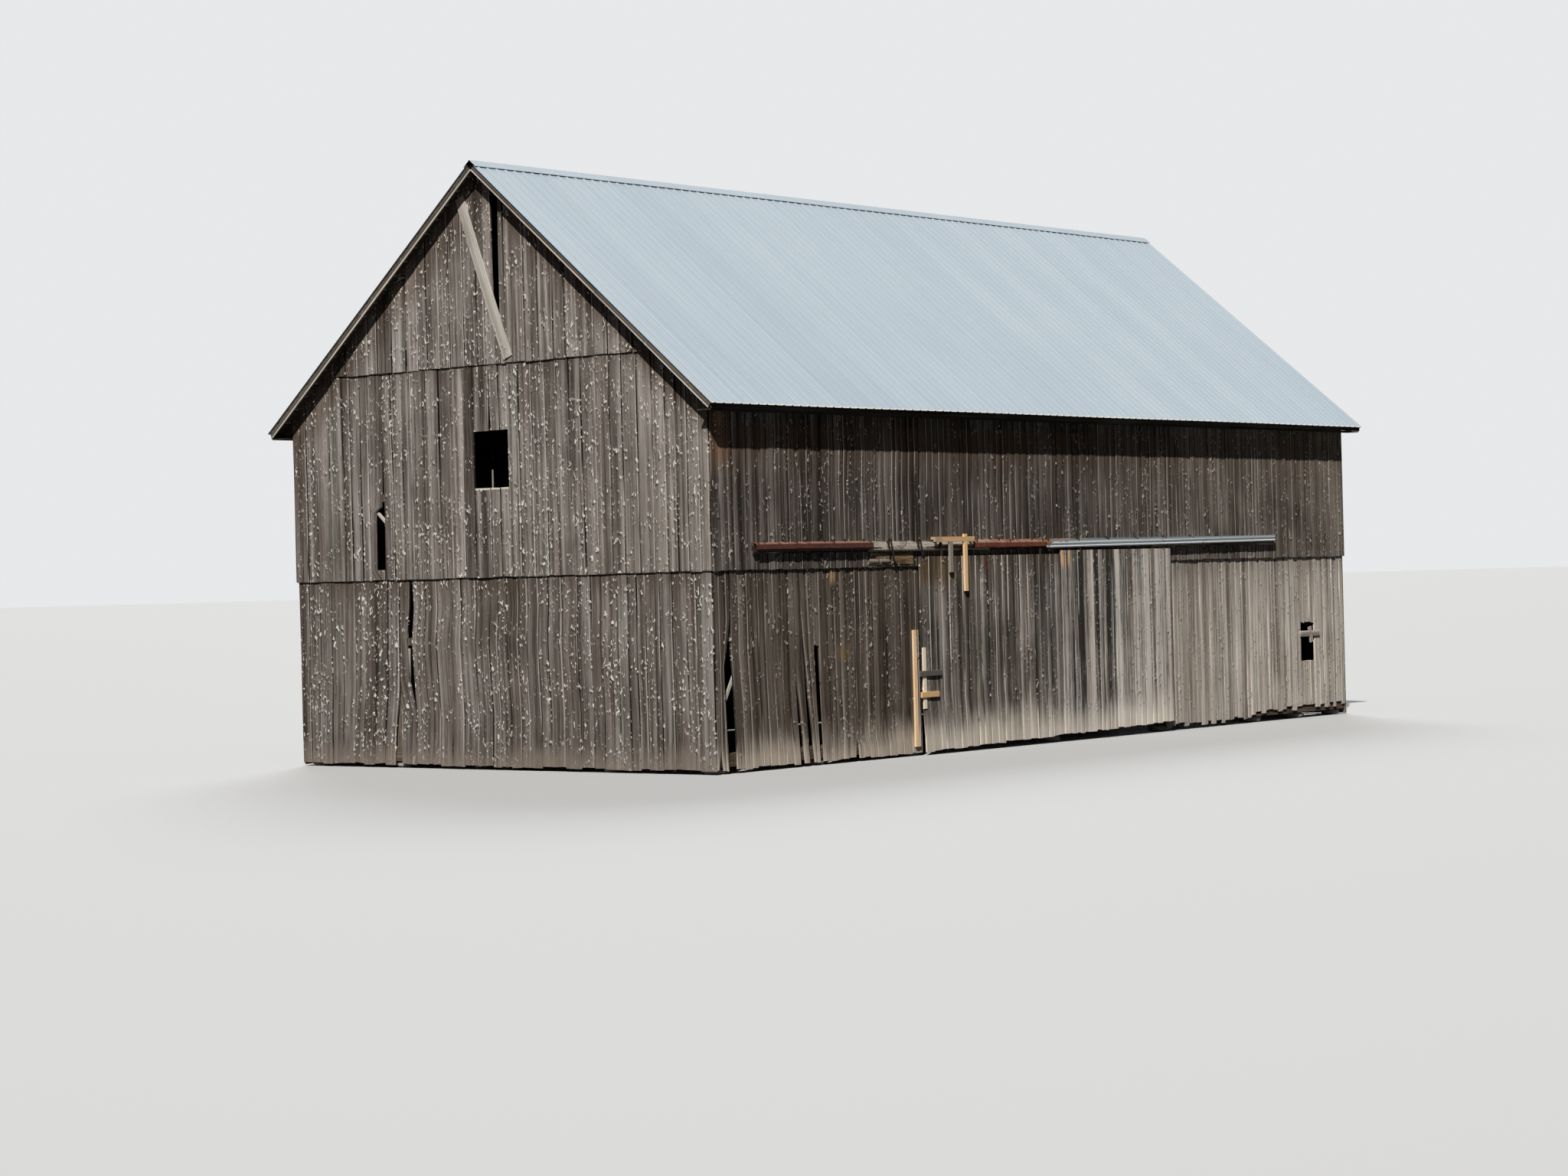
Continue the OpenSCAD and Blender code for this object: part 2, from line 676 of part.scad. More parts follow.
// What is left of broken boards across the stable window and behind three of the gaps
module broken_slats() {
    color([0.62, 0.58, 0.52]) {
        panel_along_x(board_t, -half_w - board_t)
            slat_outline([stable_window_x - 40, stable_window_z[1] - 2 * slat_w], stable_window_w + 210,
                         slat_w, 0);
        panel_along_x(board_t, -half_w + board_t)
            slat_outline([x_at(corner_gap[0][0]) + 60, corner_gap[0][1] - 750], 520, sliver_w, 60);
        panel_along_y(board_t, -half_l)
            slat_outline([gable_slot[0][0] - 20, gable_slot[0][1] + 740], 400, sliver_w, 41);
        panel_along_y(board_t, -half_l + board_t)
            slat_outline([leaning_gap[3][0] - 20, leaning_gap[3][1] - 500], 1150, 1.6 * sliver_w, 92);
    }
}

module track_board() {
    color([0.60, 0.54, 0.45])
        front_slab(x_at(track_along[0]), x_at(track_along[1]), upper_face, upper_face + track_board_t,
                   track_board_z, track_board_z + track_board_h);
}

module track_rail() {
    color([0.33, 0.24, 0.20])
        front_slab(x_at(track_along[0]), x_at(track_along[1]), rail_back, rail_back + rail_t,
                   rail_top_z - rail_h, rail_top_z);
}

// Places at about the bracket pitch along a hood, from near one end to the other
bracket_end = 70;
function bracket_row(along) =
    let (run = along[1] - along[0] - 2 * bracket_end, bays = max(1, round(run / bracket_pitch)))
    [for (k = [0 : bays]) x_at(along[0]) + bracket_end + k * run / bays];
strap_x = concat(bracket_row(rust_hood_along), bracket_row(middle_hood_along), bracket_row(zinc_hood_along),
                 [for (a = bare_brackets_along) x_at(a)]);
block_x = concat(strap_x, [x_at((patch_along[0] + patch_along[1]) / 2)]);
block_h = 20;
strap_short = 12;

// A strip bent down at the front, as [out from the wall, height]: its top and front faces and inner radius
function bent_strip(front, top, foot, t, r) = let (c = [front - r - t, top - r - t]) concat(
    [[upper_face, top]], [for (a = [0 : 15 : 90]) c + (r + t) * [sin(a), cos(a)]], [[front, foot]],
    [[front - t, foot]], [for (a = [90 : -15 : 0]) c + r * [sin(a), cos(a)]], [[upper_face, top - t]]);

// An outline in [out from the front wall, height] is carried along the wall from x
module along_front(x, length) {
    translate([x, -half_w, 0]) rotate([90, 0, 90]) linear_extrude(height = length) mirror([1, 0]) children();
}

// A strap over the rollers holds each hood, and a block at every place holds the rail
module track_brackets() {
    block_z = rail_top_z - (rail_h + block_h) / 2;
    color([0.30, 0.20, 0.16]) {
        for (x = strap_x) along_front(x - bracket_w / 2, bracket_w)
            polygon(bent_strip(hood_front, bracket_top, bracket_top - hood_drop + strap_short, bracket_t,
                               bend_r));
        for (x = block_x)
            front_slab(x - bracket_w / 2, x + bracket_w / 2, upper_face + track_board_t, rail_back,
                       block_z, block_z + block_h);
    }
}

// The hoods are bent sheets that seat on the straps
hood_face = hood_front + seat + hood_t;

module hood_outline() {
    polygon(bent_strip(hood_face, bracket_top + seat + hood_t, bracket_top - hood_drop, hood_t,
                       bend_r + bracket_t + seat));
}

// A rolled bead on the front of a hood, open at the back
module bead_outline(z) {
    translate([hood_face - hood_t, z]) difference() {
        circle(r = bead_r, $fn = 48);
        circle(r = bead_r - hood_t, $fn = 48);
        translate([-2 * bead_r, -bead_r]) square(2 * bead_r);
    }
}

module hood(along) {
    along_front(x_at(along[0]), along[1] - along[0]) children();
}

module rust_hoods() {
    color([0.42, 0.18, 0.13]) for (along = [rust_hood_along, middle_hood_along]) hood(along) hood_outline();
}

module zinc_hood() {
    mouth = 2 * bead_r - hood_t;
    flat_top = bracket_top - bend_r - bracket_t - hood_t;
    beads = [flat_top - bead_r - 4, bracket_top - hood_drop + bead_r + 8];
    color([0.58, 0.64, 0.70]) union() {
        hood(zinc_hood_along) difference() {
            hood_outline();
            for (z = beads) translate([hood_face - hood_t - 1, z - mouth / 2]) square([hood_t + 2, mouth]);
        }
        for (z = beads) hood(zinc_hood_along) bead_outline(z);
    }
}

// Sawn lumber that stands in for a lost length of hood and guides the top of the left door:
// two arms off the wall over the rollers, a rail on their ends, and two hanging pieces
module track_patch() {
    arm_z = bracket_top + 5;
    color([0.78, 0.62, 0.42]) union() {
        for (a = [patch_along[0] + 60, patch_along[1] - 60])
            front_slab(x_at(a) - stud_t / 2, x_at(a) + stud_t / 2, upper_face, patch_back,
                       arm_z, arm_z + stud_w / 2);
        front_slab(x_at(patch_along[0]), x_at(patch_along[1]), patch_back, patch_back + stud_t,
                   arm_z + stud_w / 2 - patch_rail_h, arm_z + stud_w / 2);
        front_slab(x_at(patch_grey[0]), x_at(patch_grey[0]) + stud_w, patch_back, patch_back + stud_t,
                   patch_grey[1], arm_z);
        front_slab(x_at(patch_pale[0]), x_at(patch_pale[0]) + stud_w, patch_back, patch_back + stud_t,
                   patch_pale[1], arm_z + stud_w);
    }
}

// The strip nailed to the siding where the left door closes, which the door laps a little
jamb_lap = 10;

module jamb_strip() {
    color([0.72, 0.58, 0.42])
        front_slab(leaf_span[0][0] + jamb_lap - jamb_strip_w, leaf_span[0][0] + jamb_lap, 0, stud_t,
                   jamb_strip_z[0], jamb_strip_z[1]);
}

// Each door is a leaf of upright boards: k is 0 for the left door and 1 for the right one
module door_leaf(k) {
    front_slab(leaf_span[k][0], leaf_span[k][1], leaf_back, leaf_face, door_feet[k], door_tops[k]);
}

// Three ledges on the back of a leaf, and braces that rise between them
ledge_inset = 100;
ledge_end = 265;
ledge_brace_w = 180;
ledge_brace_in = 150;

module door_ledges(k) {
    foot = door_feet[k] + ledge_end;
    top = door_tops[k] - ledge_end;
    ledge_z = [foot, (foot + top - ledge_h) / 2, top - ledge_h];
    low = leaf_span[k][0] + ledge_inset;
    high = leaf_span[k][1] - ledge_inset;
    for (z = ledge_z) front_slab(low, high, ledge_back, leaf_back, z, z + ledge_h);
    for (i = [0, 1])
        panel_along_x(ledge_t, -half_w - leaf_back)
            polygon([[low + ledge_brace_in, ledge_z[i] + ledge_h + 1],
                     [low + ledge_brace_in + ledge_brace_w, ledge_z[i] + ledge_h + 1],
                     [high - ledge_brace_in, ledge_z[i + 1] - 1],
                     [high - ledge_brace_in - ledge_brace_w, ledge_z[i + 1] - 1]]);
}

// A strap on the face of the leaf, with an axle that carries a grooved roller on the rail
module door_hanger(x) {
    flange_r = roller_r + roller_flange;
    inner_side = rail_mid - groove_w / 2 - flange_w;
    outer_side = rail_mid + groove_w / 2 + flange_w;
    translate([x, -half_w - outer_side, roller_z]) rotate([-90, 0, 0]) union() {
        cylinder(r = flange_r, h = flange_w, $fn = 64);
        cylinder(r = roller_r, h = outer_side - inner_side, $fn = 64);
        translate([0, 0, flange_w + groove_w]) cylinder(r = flange_r, h = flange_w, $fn = 64);
    }
    translate([x, -half_w - leaf_face - strap_t - axle_end, roller_z]) rotate([-90, 0, 0])
        cylinder(r = axle_r, h = leaf_face + strap_t + axle_end - outer_side + 1, $fn = 32);
    front_slab(x - strap_w / 2, x + strap_w / 2, leaf_face, leaf_face + strap_t,
               strap_foot, roller_z + strap_w / 2);
}

axle_r = 9;
axle_end = 4;

module door_hangers(k) {
    for (x = [leaf_span[k][0] + hanger_inset, leaf_span[k][1] - hanger_inset]) union() door_hanger(x);
}

module left_door_leaf() {
    color([0.36, 0.34, 0.32]) door_leaf(0);
}

module left_door_ledges() {
    color([0.44, 0.39, 0.33]) door_ledges(0);
}

module left_door_hangers() {
    color([0.30, 0.20, 0.16]) door_hangers(0);
}

// The pull of the left door: two arms that reach past the edge of the leaf, and an upright between them
module left_door_pull() {
    edge = leaf_span[0][0];
    color([0.85, 0.74, 0.58]) union() {
        front_slab(edge, edge + stud_w, leaf_face, leaf_face + pull_t, pull_z[0], pull_z[1]);
        for (i = [0, 1])
            front_slab(edge - pull_arms_out[i], edge + pull_arms_in[i], leaf_face,
                       leaf_face + stud_t, pull_arms_z[i] - stud_w / 2, pull_arms_z[i] + stud_w / 2);
    }
}

module right_door_leaf() {
    color([0.50, 0.48, 0.45]) door_leaf(1);
}

module right_door_ledges() {
    color([0.44, 0.39, 0.33]) door_ledges(1);
}

module right_door_hangers() {
    color([0.30, 0.20, 0.16]) door_hangers(1);
}

foundation_stones();
side_sills();
gable_sills();
wall_posts();
inner_posts();
tie_beams();
plates();
knee_braces();
wall_girts();
door_headers();
rafters();  // front_rafters
mirror([0, 1, 0]) rafters();  // back_rafters
roof_boards();  // front_roof_boards
mirror([0, 1, 0]) roof_boards();  // back_roof_boards
roof_sheets();  // front_roof_sheets
mirror([0, 1, 0]) roof_sheets();  // back_roof_sheets
ridge_cap();
rake_boards();
front_wall_left();
front_wall_right();
front_wall_upper();
back_wall_lower();
back_wall_upper();
left_gable_lower();
left_gable_middle();
left_gable_top();
right_gable_lower();
right_gable_middle();
right_gable_top();
loose_gable_board();
broken_slats();
track_board();
track_rail();
track_brackets();
rust_hoods();
zinc_hood();
track_patch();
jamb_strip();
left_door_leaf();
left_door_ledges();
left_door_hangers();
left_door_pull();
right_door_leaf();
right_door_ledges();
right_door_hangers();
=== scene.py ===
import math

import bpy
import numpy as np
from mathutils import Matrix, Vector


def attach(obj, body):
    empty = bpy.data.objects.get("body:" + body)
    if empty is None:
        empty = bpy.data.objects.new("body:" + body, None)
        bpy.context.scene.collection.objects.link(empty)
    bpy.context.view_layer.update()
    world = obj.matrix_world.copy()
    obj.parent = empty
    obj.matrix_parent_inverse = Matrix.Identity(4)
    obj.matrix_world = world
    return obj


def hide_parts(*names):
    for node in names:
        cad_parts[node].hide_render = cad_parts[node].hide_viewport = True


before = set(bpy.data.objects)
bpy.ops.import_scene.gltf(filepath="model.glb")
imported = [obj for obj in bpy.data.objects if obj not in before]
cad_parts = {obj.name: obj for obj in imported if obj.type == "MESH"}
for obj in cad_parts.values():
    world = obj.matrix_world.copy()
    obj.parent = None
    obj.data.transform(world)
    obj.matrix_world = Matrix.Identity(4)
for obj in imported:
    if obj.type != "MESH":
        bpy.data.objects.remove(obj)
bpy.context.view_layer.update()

# Floor, light and camera
# The barn stands on a plain pale floor under a dim, even dome. A key lamp comes over the left front
# corner, so that the eaves throw a shadow down the front wall, and a soft fill lights the far sides.
# Everything is in metres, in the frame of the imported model.


class Shade:
    """A socket of a material that is added, multiplied and so on, with numbers or other sockets."""

    def __init__(self, tree, socket=None):
        self.tree, self.socket = tree, socket

    def node(self, kind, settings=None, sockets=None, out=0):
        """Adds a node of a kind: first its settings, then the values or links of its sockets."""
        made = self.tree.nodes.new("ShaderNode" + kind)
        for key, value in (settings or {}).items():
            if key == "stops":
                elements = made.color_ramp.elements
                elements.remove(elements[1])
                elements[0].position, elements[0].color = value[0][0], (*value[0][1], 1)
                for place, colour in value[1:]:
                    elements.new(place).color = (*colour, 1)
            else:
                setattr(made, key, value)
        for key, value in (sockets or {}).items():
            if isinstance(value, Shade):
                self.tree.links.new(value.socket, made.inputs[key])
            else:
                made.inputs[key].default_value = value
        return Shade(self.tree, made.outputs[out])

    def math(self, operation, *others):
        """The result of an arithmetic operation on this and the other values."""
        return self.node("Math", {"operation": operation}, dict(enumerate((self, *others))))

    def __add__(self, other):
        return self.math("ADD", other)

    def __mul__(self, other):
        return self.math("MULTIPLY", other)

    __radd__, __rmul__ = __add__, __mul__

    def __sub__(self, other):
        return self.math("SUBTRACT", other)

    def __rsub__(self, other):
        return self.node("Math", {"operation": "SUBTRACT"}, {0: other, 1: self})

    def __truediv__(self, other):
        return self.math("DIVIDE", other)

    def clamp(self):
        """This, cut off below 0 and above 1."""
        return self.node("Clamp", None, {0: self})

    def fade(self, low, high):
        """Rises smoothly from 0 at low to 1 at high; it falls where low is the greater one."""
        return self.node("MapRange", {"interpolation_type": "SMOOTHSTEP"}, {0: self, 1: low, 2: high})

    def mix(self, first, second):
        """The first colour where this is 0, the second where it is 1."""
        first, second = ((*c, 1) if isinstance(c, tuple) else c for c in (first, second))
        return self.node("Mix", {"data_type": "RGBA"}, {0: self, 6: first, 7: second}, 2)

    def ramp(self, *stops):
        """The colour that this picks between stops of (value, colour)."""
        return self.node("ValToRGB", {"stops": stops}, {0: self})

    def tint(self, factor):
        """A colour or a vector times a number."""
        return self.node("VectorMath", {"operation": "SCALE"}, {0: self, 3: factor})

    def times(self, colour):
        """A colour or a vector multiplied by another, part by part."""
        return self.node("VectorMath", {"operation": "MULTIPLY"}, {0: self, 1: colour})

    def vector(self, x, y, z):
        """A vector made of three values or numbers."""
        return self.node("CombineXYZ", None, {0: x, 1: y, 2: z})

    def parts(self):
        """The three parts of a vector."""
        split = self.tree.nodes.new("ShaderNodeSeparateXYZ")
        self.tree.links.new(self.socket, split.inputs[0])
        return [Shade(self.tree, output) for output in split.outputs]

    def place(self):
        """Where a point of the surface lies in the barn's own frame."""
        return self.node("TexCoord", out="Object")

    def attribute(self, name):
        """The vector that a mesh carries at each point under a name."""
        return self.node("Attribute", {"attribute_name": name}, None, "Vector")

    def noise(self, detail=2.0, rough=0.5):
        """Noise between 0 and 1 at this vector."""
        sockets = {"Vector": self, "Scale": 1.0, "Detail": detail, "Roughness": rough}
        return self.node("TexNoise", None, sockets)

    def bump(self, depth, strength=1.0):
        """Normals tilted as if the surface rose by a depth where this is 1."""
        return self.node("Bump", None, {"Strength": strength, "Distance": depth, "Height": self})


def finish(name, surface, **constant):
    """A material: surface gets a Shade and returns what varies, and the rest is constant."""
    material = bpy.data.materials.new(name)
    material.use_nodes = True
    tree = material.node_tree
    shader = tree.nodes["Principled BSDF"]
    for key, value in constant.items():
        shader.inputs[key.replace("_", " ")].default_value = value
    for key, value in surface(Shade(tree)).items():
        tree.links.new(value.socket, shader.inputs[key])
    return material


def seen_directly(shade):
    """1 for the rays that show a pale background: those of the camera, gloss and clear glass."""
    path = shade.node("LightPath")
    names = ("Is Camera Ray", "Is Glossy Ray", "Is Transmission Ray")
    rays = [Shade(shade.tree, path.socket.node.outputs[n]) for n in names]
    return (rays[0] + rays[1] + rays[2]).clamp()


floor_seen, floor_lighting = (0.49, 0.49, 0.485), (0.028, 0.028, 0.027)
dome_seen, dome_lighting = (0.80, 0.81, 0.82), (0.041, 0.047, 0.058)


def floor_finish(shade):
    """Pale where it is looked at, and dark for the light that it throws back up."""
    return {"Base Color": seen_directly(shade).mix(floor_lighting, floor_seen)}


floor_radius, floor_corners = 900.0, 96
angles = np.linspace(0, 2 * np.pi, floor_corners, endpoint=False)
rim = np.stack([floor_radius * np.cos(angles), floor_radius * np.sin(angles), 0 * angles], 1)
floor_mesh = bpy.data.meshes.new("floor")
floor_mesh.from_pydata(rim.tolist(), [], [list(range(len(rim)))])
floor_mesh.materials.append(finish("floor", floor_finish, Roughness=0.9))
floor = bpy.data.objects.new("floor", floor_mesh)
bpy.context.scene.collection.objects.link(floor)

world = bpy.data.worlds.new("sky dome")
world.use_nodes = True
bpy.context.scene.world = world
dome = Shade(world.node_tree)
background = world.node_tree.nodes["Background"]
dome_colour = seen_directly(dome).mix(dome_lighting, dome_seen)
world.node_tree.links.new(dome_colour.socket, background.inputs["Color"])


def sun_lamp(name, travel, strength, spread, colour):
    """A distant lamp whose light travels along a direction; its spread in degrees softens shadows."""
    lamp = bpy.data.lights.new(name, "SUN")
    lamp.energy, lamp.angle, lamp.color = strength, math.radians(spread), colour
    sun = bpy.data.objects.new(name, lamp)
    sun.rotation_euler = Vector(travel).to_track_quat("-Z", "Y").to_euler()
    bpy.context.scene.collection.objects.link(sun)


sun_lamp("key", (0.605, 0.340, -0.720), 4.3, 0.8, (1.0, 0.985, 0.96))
sun_lamp("fill", (-0.60, -0.52, -0.61), 1.5, 25.0, (0.97, 0.985, 1.0))

# The camera that was fitted to the photo: its place, and its turns in degrees from looking along Y
camera_place, camera_turns = (-46.458, -36.390, 2.953), (50.590, -0.194, -1.522)
lens = bpy.data.cameras.new("camera")
lens.sensor_width = 36.0
lens.lens = 74.66
lens.clip_start, lens.clip_end = 0.5, 3000.0
camera = bpy.data.objects.new("camera", lens)
yaw, pitch, roll = (math.radians(a) for a in camera_turns)
ahead = Vector((math.sin(yaw) * math.cos(pitch), math.cos(yaw) * math.cos(pitch), math.sin(pitch)))
level = Vector((math.cos(yaw), -math.sin(yaw), 0.0))
upward = level.cross(ahead)
side = level * math.cos(roll) + upward * math.sin(roll)
top = upward * math.cos(roll) - level * math.sin(roll)
camera_axes = Matrix((side, top, -ahead)).transposed().to_4x4()
camera.matrix_world = Matrix.Translation(camera_place) @ camera_axes
bpy.context.scene.collection.objects.link(camera)
bpy.context.scene.camera = camera
bpy.context.scene.view_settings.view_transform = "Standard"

# Field stones
# Grey granite boulders from the fields, one under each post, rounded by ice and water.
# They are left rough, and flat enough on top to carry the sills.


def mesh_piece(name, points, faces, body, material, replaced=(), attributes=None, smooth=False):
    """Makes a piece from arrays: its points, its faces, and a vector at each point per attribute."""
    mesh = bpy.data.meshes.new(name)
    mesh.from_pydata(np.reshape(points, (-1, 3)).tolist(), [], faces)
    for key, values in (attributes or {}).items():
        made = mesh.attributes.new(key, "FLOAT_VECTOR", "POINT")
        made.data.foreach_set("vector", np.ascontiguousarray(values, np.float32).ravel())
    if smooth:
        mesh.polygons.foreach_set("use_smooth", np.ones(len(mesh.polygons), bool))
    mesh.materials.append(material)
    piece = bpy.data.objects.new(name, mesh)
    bpy.context.scene.collection.objects.link(piece)
    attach(piece, body)
    if replaced:
        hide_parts(*replaced)
    return piece


def grid_faces(rows, columns, count=1, ring=False, flip=False):
    """The quads of some grids of rows by columns points; a ring joins the last column to the first."""
    r, c = np.meshgrid(np.arange(rows - 1), np.arange(columns if ring else columns - 1), indexing="ij")
    here, after = r * columns + c, r * columns + (c + 1) % columns
    quads = np.stack([here, after, after + columns, here + columns], -1)
    quads = quads.reshape(1, -1, 4) + (np.arange(count) * rows * columns)[:, None, None]
    quads = quads.reshape(-1, 4)
    return (quads[:, ::-1] if flip else quads).tolist()


def end_faces(rows, columns, count=1, flip=False):
    """The faces that close the first and the last row of each ring grid."""
    first = np.arange(columns)[None, ::-1] + (np.arange(count) * rows * columns)[:, None]
    last = np.arange(columns)[None, :] + (np.arange(count) * rows * columns + (rows - 1) * columns)[:, None]
    faces = np.concatenate([first, last])
    return (faces[:, ::-1] if flip else faces).tolist()


def stone_finish(shade):
    """Grey granite, mottled and gritty, with pale green patches of lichen."""
    place = shade.place()
    big = place.tint(7.0).noise(4.0, 0.6)
    grit = place.tint(90.0).noise(3.0, 0.7)
    lichen = place.tint(16.0).noise(2.0).fade(0.60, 0.68)
    colour = (big * 0.7 + grit * 0.5 - 0.1).mix((0.20, 0.18, 0.16), (0.50, 0.47, 0.42))
    return {"Base Color": (lichen * 0.55).mix(colour, (0.55, 0.56, 0.44)),
            "Normal": (big + grit * 0.25).bump(0.012, 0.8)}


# Half the barn's length and width up to the siding, the stones' height, the posts' places along the
# barn and the middles of its end bays
half_l, half_w = 9.435, 4.57
stone_h = 0.11
frame_x = np.array([-9.31, -4.385, -0.375, 3.105, 6.265, 9.31])
bays = (frame_x[[0, 4]] + frame_x[[1, 5]]) / 2
wall_line, wall_reach, wall_end = 4.334, 0.20, 9.199
inner_line, inner_reach, inner_end = 2.3, 0.19, 9.209
# Places as (along, across, radius): under the wall posts, the inner posts, and mid bay at both ends
stone_places = [(np.clip(x, -wall_end, wall_end), s * wall_line, wall_reach)
                for x in frame_x for s in (-1, 1)]
stone_places += [(np.clip(x, -inner_end, inner_end), s * inner_line, inner_reach)
                 for x in frame_x for s in (-1, 1)]
stone_places += [(x, s * wall_line, wall_reach) for x in bays for s in (-1, 1)]
rings, spokes = 13, 28
rng = np.random.default_rng(11)
rise = np.linspace(-1, 1, rings)[None, :, None]
turn = np.linspace(0, 2 * np.pi, spokes, endpoint=False)[None, None, :]
reach = np.array([p[2] for p in stone_places])[:, None, None]
phase = rng.uniform(0, 6.28, (len(stone_places), 1, 4))
# Each stone is a squashed ball: away from mid height its radius shrinks with the third power of the
# height, waves of two and five bends round it make it uneven, and a root of one less the fifth power
# closes it to a point, so that its top and foot are nearly flat
outline = reach * (1 - 0.16 * np.abs(rise) ** 3) * (
    0.93 + 0.05 * np.sin(2 * turn + phase[:, :, :1]) + 0.03 * np.sin(5 * turn + phase[:, :, 1:2] + 2 * rise))
outline = outline * np.where(np.abs(rise) > 0.99, 0.0, np.sqrt(np.clip(1 - np.abs(rise) ** 5, 0, 1)) ** 0.6)
centre = np.array([p[:2] for p in stone_places])
height = np.broadcast_to((rise + 1) / 2 * stone_h, outline.shape)
stones = np.stack([centre[:, 0, None, None] + outline * np.cos(turn),
                   centre[:, 1, None, None] + outline * np.sin(turn), height], -1)
stone_faces = grid_faces(rings, spokes, len(stone_places), ring=True)
mesh_piece("field_stones", stones, stone_faces, "root",
           finish("field stone", stone_finish, Roughness=0.9), ["foundation_stones"], smooth=True)

# Timber frame
# Hewn and sawn beams of hardwood, pegged together: sills, posts, ties, plates, braces and girts,
# with sawn rafters over them. They were never painted and have gone brown and dusty.

# The pieces whose grain runs along the barn, across it and upright
timber_x = ["side_sills", "plates", "door_headers"]
timber_y = ["gable_sills", "tie_beams", "front_rafters", "back_rafters"]
timber_z = ["wall_posts", "inner_posts", "knee_braces", "wall_girts"]


def timber_finish(axis):
    """Brown timber whose grain runs along one axis: 0, 1 or 2."""
    def surface(shade):
        stretch = [28.0, 28.0, 28.0]
        stretch[axis] = 0.9
        place = shade.place()
        grain = place.times(stretch)
        broad = grain.noise(3.0)
        fine = grain.tint(6.0).noise(3.0, 0.7)
        blotch = place.tint(1.3).noise(2.0)
        check = (broad - 0.5).math("ABSOLUTE").fade(0.020, 0.004)
        value = broad * 0.8 + fine * 0.5 + blotch * 0.5 - 0.4
        colour = value.ramp((0.1, (0.045, 0.032, 0.022)), (0.5, (0.13, 0.095, 0.068)),
                            (0.9, (0.26, 0.21, 0.16)))
        return {"Base Color": (check * 0.7).mix(colour, (0.02, 0.015, 0.01)),
                "Normal": (broad * 0.5 + fine * 0.3 - check).bump(0.006, 0.8)}
    return finish("frame timber " + "xyz"[axis], surface, Roughness=0.88, Specular_IOR_Level=0.0)


def dress(names, material):
    """Gives CAD nodes a material; their meshes stay as they are."""
    for name in names:
        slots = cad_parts[name].data.materials
        slots.clear()
        slots.append(material)


for axis, names in enumerate((timber_x, timber_y, timber_z)):
    dress(names, timber_finish(axis))

# Siding
# Rough-sawn softwood boards, 165 to 280 mm wide and 25 mm thick, nailed upright to the girts in
# courses that lap like shingles. They were never painted: the sun has bleached the gable to silver
# grey with pale flecks round its knots, and the front has stayed brown, paler towards its foot.

slope = math.radians(39.8)
pitch_tan = math.tan(slope)
rafter_depth = 0.14
rafter_drop = rafter_depth / math.cos(slope)
# Heights of the rafters' top over the walls and of the feet of the second and third courses, how far
# a course laps over the one below, and the thickness of the boards
heel_z, belt_z, seam_z, lap = 5.815, 3.07, 6.45, 0.08
board = 0.025


def rafter_top(y):
    """The height of the rafters' upper faces, which falls evenly from the ridge to both walls."""
    return heel_z + (half_w - abs(y)) * pitch_tan


ridge_z = rafter_top(0)
upper_top = rafter_top(half_w + board) - rafter_drop - 0.004


